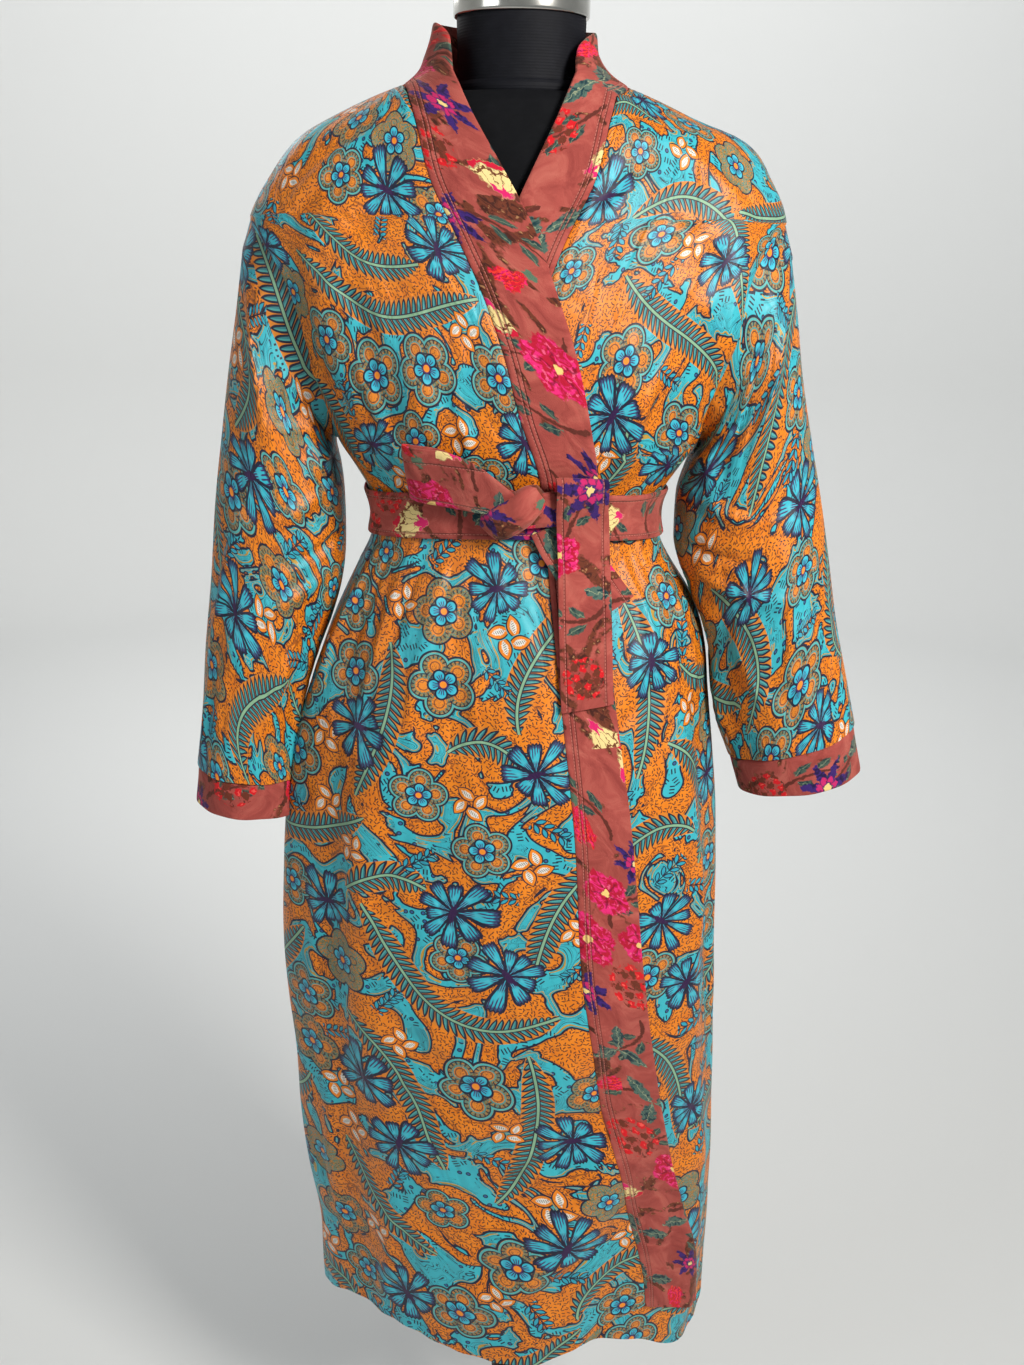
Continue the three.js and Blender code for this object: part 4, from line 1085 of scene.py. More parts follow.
def tube_faces(rows, columns):
    """Faces between rings of points"""
    i, j = cells_of(rows - 1, columns)
    beside = (j + 1) % columns
    low, high = i * columns, (i + 1) * columns
    return np.stack([low + j, low + beside, high + beside, high + j], 1).tolist()


def fans(rows, columns):
    """Triangles from the first ring, then from the last, to the points that close them"""
    last, ends = (rows - 1) * columns, rows * columns
    first = [[(k + 1) % columns, k, ends] for k in range(columns)]
    return first + [[last + k, last + (k + 1) % columns, ends + 1] for k in range(columns)]


def turn_outwards():
    """Turn the faces of the active mesh outwards"""
    bpy.ops.object.mode_set(mode="EDIT")
    bpy.ops.mesh.select_all(action="SELECT")
    bpy.ops.mesh.normals_make_consistent(inside=False)
    bpy.ops.object.mode_set(mode="OBJECT")


def shell(name, material, outer, inner, flat, layers, closed=False):
    """Thin wall of cloth between two grids of points, with its flat pattern and its print"""
    rows, columns = outer.shape[:2]
    spans = columns if closed else columns - 1
    i, j = cells_of(rows - 1, spans)
    everywhere = np.full(i.shape, True)
    plan = [(everywhere, (0, 1, 2, 3), (0, 0, 0, 0)), (everywhere, (0, 3, 2, 1), (1, 1, 1, 1))]
    plan += [(i == 0, (0, 0, 1, 1), (0, 1, 1, 0)), (i == rows - 2, (3, 2, 2, 3), (0, 0, 1, 1))]
    if not closed:
        plan += [(j == 0, (0, 3, 3, 0), (0, 0, 1, 1)), (j == spans - 1, (1, 1, 2, 2), (0, 1, 1, 0))]
    faces = []
    kept = {key: [] for key in ("flat", *layers)}
    grids = {"flat": corners_of(flat), **layers}
    for chosen, order, sides in plan:
        ci, cj = i[chosen], j[chosen]
        face = []
        for corner, side in zip(order, sides):
            di, dj = CORNERS[corner]
            face.append(side * rows * columns + (ci + di) * columns + (cj + dj) % columns)
        faces.append(np.stack(face, 1))
        for key, grid in grids.items():
            kept[key].append(grid[ci, cj][:, list(order)])
    points = np.concatenate([outer.reshape(-1, 3), inner.reshape(-1, 3)])
    faces = np.concatenate(faces)
    kept = {key: np.concatenate(values) for key, values in kept.items()}
    a, b, c, d = (points[faces[:, k]] for k in range(4))
    if (a * np.cross(b, c)).sum() + (a * np.cross(c, d)).sum() < 0:
        faces = faces[:, ::-1]
        kept = {key: values[:, ::-1] for key, values in kept.items()}
    piece = smooth_below(mesh_piece(name, points, faces.tolist(), material), CLOTH_ANGLE)
    keep_layers(piece.data, kept.pop("flat"), kept)
    return piece


# Materials: numbers that are worked out at each point of the cloth
def fill(slot, value):
    """Set an input to a value, or link it to a socket or to a number that is worked out"""
    if isinstance(value, Worked):
        value = value.socket
    if isinstance(value, bpy.types.NodeSocket):
        slot.id_data.links.new(value, slot)
    else:
        slot.default_value = value


def added(tree, kind, inputs=None, **settings):
    """New node with these settings and inputs"""
    node = tree.nodes.new("ShaderNode" + kind)
    for key, value in settings.items():
        setattr(node, key, value)
    for key, value in (inputs or {}).items():
        fill(node.inputs[key], value)
    return node


class Worked:
    def __init__(self, tree, socket):
        self.tree, self.socket = tree, socket

    def calc(self, kind, *others, clamp=False, first=None):
        values = (self if first is None else first, *others)
        node = added(self.tree, "Math", dict(enumerate(values)), operation=kind, use_clamp=clamp)
        return Worked(self.tree, node.outputs[0])

    def __add__(self, other):
        return self.calc("ADD", other)

    def __sub__(self, other):
        return self.calc("SUBTRACT", other)

    def __mul__(self, other):
        return self.calc("MULTIPLY", other)

    def __truediv__(self, other):
        return self.calc("DIVIDE", other)

    def from_(self, other):
        return self.calc("SUBTRACT", self, first=other)

    def plus_times(self, factor, more):
        return self.calc("MULTIPLY_ADD", factor, more)

    def ramp(self, factor, more):
        """The same, kept between 0 and 1"""
        return self.calc("MULTIPLY_ADD", factor, more, clamp=True)

    def size(self):
        return self.calc("ABSOLUTE")

    def cell(self):
        """Place in a repeat of 1, from its middle"""
        return self.calc("FRACT") - 0.5

    def whole(self):
        return self.calc("FLOOR")

    def sine(self):
        return self.calc("SINE")

    def cosine(self):
        return self.calc("COSINE")

    def most(self, other):
        return self.calc("MAXIMUM", other)

    def least(self, other):
        return self.calc("MINIMUM", other)

    def to(self, power):
        return self.calc("POWER", power)

    def over(self, limit):
        return self.calc("GREATER_THAN", limit)

    def under(self, limit):
        return self.calc("LESS_THAN", limit)

    def is_(self, value):
        return self.calc("COMPARE", value, 0.3)

    def inside(self, soft=0.35):
        """1 where this distance is below nothing, with a soft edge"""
        return self.ramp(-1 / soft, 0.5)

    def line(self, half, soft=0.35):
        """1 within half of this distance's nothing"""
        return (self.size() - half).inside(soft)


def reach(x, y):
    return (x * x + y * y).calc("SQRT")


def bearing(x, y):
    return y.calc("ARCTAN2", x)


def colour(red, green, blue):
    """Linear colour of an 8-bit one"""
    shares = (c / 255 for c in (red, green, blue))
    return tuple(((c + 0.055) / 1.055) ** 2.4 if c > 10 / 255 else c / 12.92 for c in shares) + (1,)


class Paint:
    """Layers of colour, laid one over another"""

    def __init__(self, tree, start):
        self.tree, self.now = tree, colour(*start)

    def lay(self, tone, mask, strength=1.0):
        if strength < 1:
            mask = mask * strength
        node = added(self.tree, "Mix", {0: mask, 6: self.now, 7: colour(*tone)}, data_type="RGBA")
        self.now = node.outputs[2]


def new_material(name, plain):
    material = bpy.data.materials.new(name)
    material.use_nodes = True
    material.diffuse_color = colour(*plain)
    tree = material.node_tree
    return material, tree, tree.nodes["Principled BSDF"]


def parts_of(tree, socket):
    return [Worked(tree, out) for out in added(tree, "SeparateXYZ", {0: socket}).outputs]


def vector_of(tree, attribute):
    """The three parts of an attribute"""
    return parts_of(tree, added(tree, "Attribute", attribute_name=attribute).outputs["Vector"])


def flat_place(tree):
    """Place on the flat pattern, whole and as millimetres along it and across"""
    place = added(tree, "UVMap", uv_map="flat").outputs[0]
    u, v = (part * IN_MM for part in parts_of(tree, place)[:2])
    return place, u, v


def joined(tree, x, y):
    return added(tree, "CombineXYZ", {0: x, 1: y}).outputs[0]


def noise(tree, place, scale, detail=2.0, distortion=0.0, rough=0.5, flat=True):
    inputs = {"Vector": place, "Scale": scale, "Detail": detail, "Roughness": rough, "Distortion": distortion}
    node = added(tree, "TexNoise", inputs, noise_dimensions="2D" if flat else "3D")
    return Worked(tree, node.outputs[0])


def scattered(tree, place, step, loose=0.8):
    """Small marks strewn about step millimetres apart: place on the nearest one, and its own number"""
    inputs = {"Vector": place, "Scale": IN_MM / step, "Randomness": loose}
    spots = added(tree, "TexVoronoi", inputs, voronoi_dimensions="2D")
    away = added(tree, "VectorMath", {0: place, 1: spots.outputs["Position"]}, operation="SUBTRACT")
    x, y = (part * IN_MM for part in parts_of(tree, away.outputs[0])[:2])
    own = added(tree, "SeparateColor", {0: spots.outputs["Color"]})
    lean = Worked(tree, own.outputs[0]) * 6.283
    c, s = lean.cosine(), lean.sine()
    return x * c + y * s, y * c - x * s, Worked(tree, own.outputs[1])


def finish_shader(print_, shader, height, strength, distance, values):
    """Give a shader its print, its relief and the values that are the same all over"""
    inputs = {"Strength": strength, "Distance": distance, "Height": height}
    bump = added(print_.tree, "Bump", inputs)
    for key, value in {"Normal": bump.outputs[0], "Base Color": print_.now, **values}.items():
        fill(shader.inputs[key], value)


def petal_turn(around, count):
    """The angle counted in petals"""
    return around * (count / TURN) + 0.5


def on_petal(r, around, count):
    """Angle from the nearest petal's middle line, and the place along it and beside it"""
    a = petal_turn(around, count).cell() * (TURN / count)
    return a, r * a.cosine(), r * a.sine()


def on_motif(r):
    """1 in the cells that belong to a motif"""
    return (r - MOTIF_LIMIT).inside(1.0)


def lens(x, y, long, wide):
    """Distance-like number that is below nothing inside a pointed oval"""
    share = x / long
    return y.size() - (share * share).from_(1.0) * wide


ORANGE = (230, 130, 24)
TURQUOISE = (56, 178, 192)
INK = (28, 30, 52)
PURPLE = (62, 34, 92)
TEAL = (78, 160, 158)
WHITE = (226, 222, 212)


def satin_material():
    material, tree, shader = new_material("satin", (96, 140, 110))
    place, u, v = flat_place(tree)
    print_ = Paint(tree, ORANGE)
    lay = print_.lay

    # Ground: orange and turquoise clouds with a dark edge, strokes, rings and dashes
    first = noise(tree, place, 17, 2.0, 1.3)
    aside = noise(tree, joined(tree, (u + 1.0) * MM, v * MM), 17, 2.0, 1.3)
    above = noise(tree, joined(tree, u * MM, (v + 1.0) * MM), 17, 2.0, 1.3)
    slope = reach(aside - first, above - first).most(0.004)
    edge = first.from_(0.525) / slope
    tone = noise(tree, place, 60, 2.0)
    lay((206, 102, 12), tone.ramp(3.0, -1.2), 0.5)
    x, y, own = scattered(tree, place, 3.5)
    bent = y + x * x * (own - 0.5) * 0.4
    lay((62, 32, 34), (x.size() - 1.5).most(bent.size() - 0.48).inside(0.3) * own.over(0.06))
    wet = edge.inside(0.5)
    lay(TURQUOISE, wet)
    lay((36, 156, 180), wet * tone.ramp(3.0, -1.5), 0.5)
    patch = noise(tree, place, 24, 1.0)
    flow = (edge * 0.3).cell().line(0.13, 0.09) * (edge + 1.6).inside(0.4) * (edge + 15.0).over(0.0)
    lay(INK, flow * patch.over(0.5), 0.9)
    quiet = wet * patch.under(0.5)
    x, y, own = scattered(tree, place, 9.8, 0.6)
    strokes = ((x * 0.31 + 0.5).cell().size() * 3.2 - 0.64).inside(0.3)
    group = (x.size() - 4.0).most(y.size() - 2.6).inside(0.4)
    lay(INK, quiet * strokes * group * own.over(0.34))
    disc = reach(x, y)
    ringed = quiet * own.under(0.34)
    lay((44, 92, 142), ringed * (disc - 1.7).inside())
    lay(INK, ringed * (disc - 1.8).line(0.5))
    lay((186, 146, 60), (edge + 2.4).line(0.55) * patch.over(0.47))
    lay((140, 74, 28), (edge - 2.4).line(0.5) * patch.under(0.6), 0.8)
    lay(INK, edge.line(1.0))

    # Fronds: a spine with slanting leaflets on both sides
    s, t, length = vector_of(tree, "frond")
    share = s / length
    taper = (share * 2.0 - 1.0).to(4.0).from_(1.0) * 13.5 + 1.0
    off = t.size()
    open_ = (off - LINE_LIMIT).inside(1.0) * share.over(0.003) * share.under(0.997)
    slant = (s - off * 0.6) / 6.8
    leaf = slant.cell()
    narrow = (off / taper).to(4.0).from_(1.0) * 2.35
    edge = (leaf.size() * 6.8 - narrow).most(off - taper)
    bed = (off - taper - 0.8).inside(0.6) * open_
    lay((214, 128, 40), bed)
    lay(TEAL, edge.inside() * open_)
    lay((44, 112, 124), (leaf - 0.1).line(0.09, 0.06) * edge.inside() * open_, 0.8)
    lay(INK, edge.line(0.85) * open_)
    lay((132, 174, 140), (off - 1.4).inside() * open_)
    lay(INK, (off - 1.7).line(0.5) * open_)

    # Five-petalled flowers in lobed rings
    x, y, kind = vector_of(tree, "halo")
    r = reach(x, y)
    near = on_motif(r)
    a, px, py = on_petal(r, bearing(x, y), 5)
    ring_x = reach(px - 17.5, py)
    lobe = (ring_x - 14.0).least(r - 15.0)
    whole = lobe.inside() * near
    scribble = noise(tree, place, 330, 1.0, 2.5)
    lay((150, 134, 68), whole)
    lay((66, 134, 134), whole * scribble.ramp(12.0, -6.2), 0.9)
    lay((214, 120, 34), whole * scribble.ramp(-12.0, 5.2), 0.95)
    lay((46, 50, 50), whole * (scribble - 0.5).line(0.03, 0.02), 0.8)
    lay((82, 172, 172), (lobe + 2.0).line(0.8) * near * kind.over(4.0))
    lay(INK, (lobe + 3.4).line(0.42) * near * kind.over(4.0))
    spoke = (bearing(px - 17.5, py) * 2.3).cell()
    heart = (ring_x - 6.6).inside() * near * kind.over(2.0)
    lay((228, 132, 34), heart, 0.9)
    lay((62, 34, 34), heart * scribble.ramp(14.0, -8.4), 0.8)
    lay(INK, spoke.line(0.17, 0.1) * (ring_x - 9.2).line(1.7) * near * kind.over(2.0), 0.85)
    lay((60, 150, 152), (ring_x - 6.4).line(0.6) * near * kind.over(5.5), 0.9)
    lay(INK, (ring_x - 4.4).line(0.42) * near * kind.over(1.0), 0.8)
    lay(INK, lobe.line(0.9) * near)
    petal = reach(px - 8.6, py) - 5.2
    lay((50, 176, 202), petal.inside() * near)
    lay((104, 208, 222), petal.inside() * (px - 11.0).inside(3.0).from_(1.0) * near, 0.4)
    strokes = (a.size().least((a.size() - 0.24).size()) * r - 0.42).inside(0.3)
    lay(PURPLE, strokes * (r - 6.6).line(2.8) * near)
    lay(INK, petal.line(0.9) * (r - 14.8).inside() * near)
    lay(PURPLE, (r - 4.4).inside() * near)
    lay((238, 140, 40), (r - 3.1).inside() * near)

    # White lenses in orange lobes, and leafy sprigs
    x, y, kind = vector_of(tree, "seed")
    r = reach(x, y)
    near = on_motif(r)
    lenses, sprig = near * kind.under(0.5), near * kind.over(0.5)
    a, px, py = on_petal(r, bearing(x, y), 4)
    px = px - 11.0
    tilted_x, tilted_y = px * 0.8 + py * 0.6, py * 0.8 - px * 0.6
    lobe = lens(tilted_x, tilted_y, 11.5, 6.6)
    lay(ORANGE, lobe.inside() * lenses)
    lay(INK, lobe.line(0.7) * lenses)
    white = lens(tilted_x, tilted_y, 6.8, 3.2) + (scribble - 0.5) * 3.0
    lay(WHITE, white.inside() * lenses)
    mark = (tilted_x * 0.5 + tilted_y * 0.2).cell().line(0.2, 0.1) * (tilted_y.size() - 1.5).inside()
    lay(INK, mark * (white + 0.6).inside() * lenses, 0.8)
    step = (x * 0.115).cell() * 8.7
    rise = y.size() - 4.4
    leaf = lens(step * 0.75 + rise * 0.66, rise * 0.75 - step * 0.66, 5.6, 2.4)
    along = (x.size() - 20.0).inside()
    lay((46, 158, 182), leaf.inside() * along * sprig)
    lay(INK, leaf.line(0.65) * along * sprig)
    lay(INK, (y.size() - 0.6).inside() * along * sprig)

    # Large blooms with brushed petals
    x, y, kind = vector_of(tree, "bloom")
    r = reach(x, y)
    near = on_motif(r)
    around = bearing(x, y)
    turn = petal_turn(around + (around + kind).sine() * 0.2, 9)
    a, number = turn.cell() * (TURN / 9), turn.whole()
    length = ((number * 2.1 + kind).sine() * 0.12 + (around - kind).cosine() * 0.13 + 0.8) * 41.0
    share = r / length
    across = a * r
    tip = (across * 0.3).cell().size() * 0.12
    width = (share.most(0.0).to(0.9) * 8.2) * (share - 0.7).most(0.0).to(2.0).plus_times(-3.4, 1.0)
    edge = (across.size() - width).most((share + tip - 1.0) * length)
    shape = edge.inside() * near
    lay((50, 178, 198), shape)
    core = (across.size() - 1.2).inside(2.0)
    lay((100, 194, 206), shape * (share - 0.5).line(0.12, 0.3) * core, 0.45)
    brush = (across * 0.42 + 0.5).cell().line(0.2, 0.1)
    lay(PURPLE, shape * brush * (share + (across * 0.9).sine() * 0.1 - 0.62).inside(0.08).from_(1.0))
    lay(PURPLE, shape * (across * 0.7).cell().line(0.3, 0.14) * (share - 0.42).inside(0.1))
    lay((48, 28, 82), shape * (share + tip - 0.88).inside(0.06).from_(1.0), 0.85)
    lay(INK, edge.line(1.1) * near)
    streak = lens(x + 2.0, y, 11.0, 3.2) + (around * 9.0).sine() * 0.6
    lay((48, 20, 66), streak.inside(0.5) * near)

    # Line of hem stitches
    hem = vector_of(tree, "hem")[0]
    row = (hem - HEM_STITCH).size()
    dashes = ((u / 2.8).cell().size() - 0.32).inside(0.1)
    sewn = hem.over(1.0)
    lay((30, 44, 52), (row - 0.45).inside(0.4) * dashes * sewn, 0.8)

    # Satin face: small soft wrinkles, and warp threads that catch the light
    weave = noise(tree, joined(tree, u * MM, v * 0.00006), 5200, 1.0)
    soft = noise(tree, joined(tree, u * MM, v * 0.0004), 34, 2.0, 0.8)
    broad = noise(tree, joined(tree, u * MM + v * 0.0002, v * 0.0006), 15, 1.0, 0.6)
    groove = (row * row * 0.4).from_(1.0).most(0.0) * sewn
    height = soft * 0.8 + broad * 1.6 + weave * 0.02 - groove * 0.05
    finish_shader(print_, shader, height, 0.75, 0.006, {"Roughness": 0.43, "Specular IOR Level": 0.42})
    return material


def velvet_material(name, stitches):
    """Printed velvet, with painted sheen and painted shade in patches on its crushed nap; stitches are rows
    of topstitching by their distance from the piece's edges, each with painted shade along its groove
    """
    material, tree, shader = new_material(name, (184, 98, 88))
    place, u, v = flat_place(tree)
    print_ = Paint(tree, (165, 77, 69))
    lay = print_.lay
    nap_sheen_shade = noise(tree, place, 34, 4.0, 0.6, 0.65)
    # Painted shade (darker) and painted sheen (lighter) in patches of the crushed nap; the same noise also
    # raises the nap's relief
    lay((134, 54, 50), nap_sheen_shade.ramp(4.0, -1.8), 0.8)
    lay((188, 104, 91), nap_sheen_shade.ramp(-4.0, 1.9), 0.75)
    ragged = noise(tree, place, 210, 3.0)
    drift = noise(tree, joined(tree, v * MM, u * MM), 190, 3.0)
    jag_x, jag_y = (ragged - 0.5) * 7.0, (drift - 0.5) * 7.0
    shade = noise(tree, place, 120, 3.0, 1.2)
    deep = shade.ramp(7.0, -3.3)

    # Brown brushed patches behind the flowers
    cloud = noise(tree, place, 15, 2.0, 1.6) + (ragged - 0.5) * 0.12
    soil = cloud.ramp(26.0, -15.6)
    lay((104, 52, 36), soil)
    lay((66, 32, 26), soil * deep)
    lay((190, 142, 96), soil * ragged.ramp(16.0, -10.6), 0.6)

    # Twigs with small leaves
    s, t, length = vector_of(tree, "twig")
    share = s / length
    off = t + jag_x * 0.6
    live = share.over(0.002) * share.under(0.998) * (t.size() - LINE_LIMIT).inside(1.0)
    step = ((s + jag_y) / 21.0).cell()
    side = off.size() - 8.0
    leaf = lens(step * 14.0 + side * 0.62, side * 0.8 - step * 9.0, 8.2, 3.6)
    green = leaf.inside(1.2) * live * share.over(0.3)
    lay((62, 84, 74), green)
    lay((24, 50, 56), green * deep, 0.9)
    lay((134, 146, 118), (side * 0.8 - step * 9.0).line(0.35) * green, 0.6)
    lay((92, 42, 34), (off.size() + share * 1.4 - 2.2).inside(0.8) * live)

    # Blossoms, berries, fans, leaves, pointed flowers and plumes
    x, y, kind = vector_of(tree, "spray")
    near = on_motif(reach(x, y))
    x, y = x + jag_x, y + jag_y
    r = reach(x, y)
    around = bearing(x, y)

    blossom = near * kind.is_(0.0)
    a, px, py = on_petal(r, around, 5)
    petal = reach(px - 12.0, py) - 10.5
    lay((176, 20, 50), petal.inside(1.6) * blossom)
    lay((224, 42, 116), petal.inside(1.6) * blossom * shade.ramp(7.0, -3.4))
    lay((234, 96, 136), petal.inside(1.6) * blossom * ragged.ramp(12.0, -7.2), 0.8)
    lay((116, 8, 36), (a.size() * r - 0.8).inside(0.8) * (r - 16.0).inside(2.0) * blossom, 0.8)
    lay((232, 200, 120), (r - 3.2).inside(0.8) * blossom)

    berries = near * kind.is_(1.0)
    bx, by, own = scattered(tree, joined(tree, x * MM, y * MM), 8.6, 0.5)
    fruit = reach(bx, by) - 3.4
    bunch = (r - 20.0).inside(0.5) * berries
    lay((84, 40, 32), (bx.size() - 0.5).inside(0.5) * bunch)
    lay((204, 24, 34), fruit.inside(0.6) * bunch)
    lay((104, 48, 34), fruit.inside(0.6) * bunch * own.over(0.62))
    lay((240, 96, 84), (reach(bx - 0.9, by - 0.9) - 0.9).inside(0.8) * bunch * own.under(0.62), 0.8)

    fan = near * kind.is_(2.0)
    fold = around.size() - 0.8
    sector = (fold * r * 0.8).most(r - 29.0)
    body_ = sector.inside(1.0) * fan
    lay((232, 208, 142), body_)
    ribs = (around * 3.2).cell().line(0.07, 0.06)
    lay((110, 62, 40), ribs * body_, 0.9)
    rim = (r + (around * 10.0).cosine() * 1.8 - 22.0)
    lay((110, 62, 40), rim.line(0.9) * body_)
    lay((170, 156, 120), (rim - 2.6).inside().from_(1.0) * body_ * (rim - 2.4).line(2.0))
    lay((196, 24, 54), (rim - 3.4).inside(0.8).from_(1.0) * body_)
    lay((212, 36, 104), (r - 9.0 - (around * 9.0).sine() * 2.0).inside(1.0) * body_)

    leaves = near * kind.is_(3.0)
    a, px, py = on_petal(r, around, 3)
    leaf = lens(px - 14.5, py, 14.0, 6.2)
    lay((78, 104, 94), leaf.inside(1.2) * leaves)
    lay((16, 54, 62), leaf.inside(1.2) * deep * leaves)
    lay((160, 166, 132), py.line(0.4) * leaf.inside(1.2) * leaves, 0.7)

    star = near * kind.is_(4.0)
    a, px, py = on_petal(r, around, 7)
    blade = lens(px - 12.5, py, 12.5, 3.9)
    lay((56, 34, 106), blade.inside(0.9) * star)
    lay((30, 20, 66), blade.inside(0.9) * deep * star)
    lay((206, 40, 104), (reach(px - 7.0, py) - 2.6).inside(1.0) * star, 0.85)
    lay((232, 204, 132), (r - 3.0).inside(0.8) * star)

    plume = near * kind.is_(5.0)
    long = (x + 6.0) / 32.0
    wide = (long.most(0.02).to(0.7) * 12.0) * (long - 0.5).most(0.0).to(2.0).plus_times(-2.0, 1.0)
    feather = (y.size() - wide).most(x - 26.0 - (y * 1.3).sine() * 2.4).most(x * -1.0 - 6.0)
    brushed = feather.inside(1.4) * plume
    lay((196, 20, 44), brushed)
    lay((226, 38, 106), brushed * deep)
    lay((238, 66, 40), brushed * (y * 0.34 + x * 0.02).cell().line(0.16, 0.2), 0.8)
    lay((92, 14, 40), brushed * (y * 0.3).cell().line(0.07, 0.08), 0.8)
    lay((84, 112, 92), (reach(x + 9.0, y) - 4.2).inside(1.2) * plume)

    # Topstitching: rows of thread in a shallow groove, with painted shade darkening each groove
    groove = None
    for distance in stitches:
        row = (v - distance).size()
        mark = ((u / 3.4).cell().size() - 0.34).inside(0.08) * (row - 0.34).inside(0.25)
        # Painted shade along the groove of each row
        lay((112, 48, 44), (row - 0.8).inside(0.9), 0.6)
        lay((206, 128, 114), mark, 0.7)
        dip = (row * row * 0.5).from_(1.0).most(0.0)
        groove = dip if groove is None else groove.most(dip)

    nap = noise(tree, place, 900, 2.0)
    crush = noise(tree, joined(tree, u * 0.0005, v * MM), 24, 2.0, 0.8)
    height = nap * 0.3 + nap_sheen_shade * 1.4 + crush * 3.2
    if groove is not None:
        height = height - groove * 1.2
    finish_shader(print_, shader, height, 0.8, 0.0012, {
        "Roughness": 0.85,
        "Specular IOR Level": 0.18,
        "Sheen Weight": 0.38,
        "Sheen Roughness": 0.45,
        "Sheen Tint": colour(244, 178, 160),
    })
    return material


def form_material(name, base, ridges, rough):
    """Dark cloth of the dress form, with fine lines round it"""
    material, tree, shader = new_material(name, base)
    place = added(tree, "TexCoord").outputs["Object"]
    print_ = Paint(tree, base)
    dust = noise(tree, place, 90, 4.0, flat=False)
    print_.lay(tuple(c + 10 for c in base), dust.ramp(3.0, -1.3), 0.6)
    rib = (parts_of(tree, place)[2] * ridges).sine()
    height = rib * 0.5 + noise(tree, place, 1400, 1.0, flat=False)
    finish_shader(print_, shader, height, 0.3, 0.0004, {"Roughness": rough, "Specular IOR Level": 0.2})
    return material


def metal_material(name, base, metallic, rough):
    material, tree, shader = new_material(name, base)
    wear = noise(tree, added(tree, "TexCoord").outputs["Object"], 60, 4.0, flat=False)
    print_ = Paint(tree, base)
    print_.lay(tuple(int(c * 0.8) for c in base), wear.ramp(2.0, -0.8), 0.5)
    inputs = {"Base Color": print_.now, "Metallic": metallic, "Roughness": wear.plus_times(0.14, rough)}
    for key, value in inputs.items():
        fill(shader.inputs[key], value)
    return material


def plain_material(name, base, rough):
    material, tree, shader = new_material(name, base)
    shader.inputs["Base Color"].default_value = colour(*base)
    shader.inputs["Roughness"].default_value = rough
    return material


SATIN = satin_material()
BAND_VELVET = velvet_material("velvet_band", (6.0, 10.0))
BELT_VELVET = velvet_material("velvet_belt", (5.0, BELT_WIDTH - 5.0))
CUFF_VELVET = velvet_material("velvet_cuff", ())
FORM_CLOTH = form_material("form_cloth", (3, 4, 8), 900, 0.85)
NECK_CLOTH = form_material("neck_cloth", (10, 11, 18), 2600, 0.7)
CHROME = metal_material("chrome", (214, 212, 206), 1.0, 0.1)
BLACK_METAL = metal_material("black_metal", (26, 27, 30), 0.5, 0.4)


def belongs(piece, node):
    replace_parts(piece, node)
    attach(piece, "root")


def sew(node, material, faces, pattern, layers, shift, closed=False):
    """Piece of cloth between its two faces; shift keeps its part of the print apart from the others"""
    outer, inner = faces[:2]
    piece = shell(node + "_cloth", material, outer, inner, pattern + (shift, 0.0), layers, closed)
    belongs(piece, node)


def panel(node, faces, middle, seed, shift):
    """Satin panel; its flat pattern is measured from one column of its grid"""
    flat = flat_pattern(faces[2], False, LEVEL_ROW, first=middle)
    layers = satin_layers(node, flat, faces[0], seed)
    layers["hem"] = hem_layer(faces[2])
    sew(node, SATIN, faces, flat, layers, shift)


# Panels, sleeves and cuffs. The print of each starts at a place of its own, in millimetres
LEVEL_ROW, BACK_MIDDLE = 60, 62
FRONT_LEFT_PRINT, BACK_PRINT, SLEEVE_PRINT, CUFF_PRINT = 2000.0, 4000.0, 6000.0, 8000.0
BELT_PRINT, KNOT_PRINT, WRAP_PRINT = 9100.0, 9900.0, 9980.0
SEED_PRINT, STRIP_PRINT = 20, 100.0
for node, layer, sign, seed, shift in (
    ("front_right", "top", -1, 11, 0.0),
    ("front_left", "under", 1, 23, FRONT_LEFT_PRINT),
):
    faces = front(layer, sign, 84)
    panel(node, faces, faces[0].shape[1] - 1, seed, shift)
panel("back", back(124), BACK_MIDDLE, 37, BACK_PRINT)

for side, sign, seed in (("right", -1, 41), ("left", 1, 53)):
    node, rests_on = "sleeve_" + side, ["back_cloth", "front_" + side + "_cloth"]
    faces = sleeve(side, sign, 76, 104)
    flat = flat_pattern(faces[2], True, 0)
    layers = satin_layers(node, flat, faces[0], seed)
    sew(node, SATIN, faces, flat, layers, SLEEVE_PRINT + seed * SEED_PRINT, True)
    faces = cuff(side, sign, 120)
    flat = flat_pattern(faces[2], True, 0)
    layers = velvet_layers(flat, seed + 1)
    shift, rests_on = CUFF_PRINT + seed * SEED_PRINT, ["sleeve_" + side + "_cloth"]
    sew("cuff_" + side, CUFF_VELVET, faces, flat, layers, shift, True)


def strip(node, material, faces, seed):
    """Velvet strip, with its length along u and its width along v"""
    flat = flat_pattern(faces[2], False, 0, even=0.0)[..., ::-1]
    sew(node, material, faces, flat, velvet_layers(flat, seed), seed * STRIP_PRINT)


# Band, then the belt with its loop and tails
strip("band_right", BAND_VELVET, band("top", -1, 22), 61)
strip("band_left", BAND_VELVET, band("under", 1, 22), 67)

faces = belt_round(260, 18)
flat = flat_pattern(faces[2], True, 0, even=1.0)
rests_on = ["back_cloth", "front_right_cloth"]
sew("belt_round", BELT_VELVET, faces, flat, velvet_layers(flat, 71), BELT_PRINT, True)

for node, rows, steps, seed, cup in (
    ("belt_loop", LOOP, 90, 77, 0.0),
    ("belt_tail_long", LONG_TAIL, 110, 79, 0.0),
    ("belt_tail_short", SHORT_TAIL, 44, 83, 0.6),
):
    strip(node, BELT_VELVET, ribbon(rows, steps, 18, cup), seed)


def padded(values, count, rest):
    """Values for the first corners of a mesh, and one value for the rest"""
    values = values.reshape(-1, values.shape[-1])
    return np.concatenate([values, np.full((count - len(values), values.shape[1]), rest)])


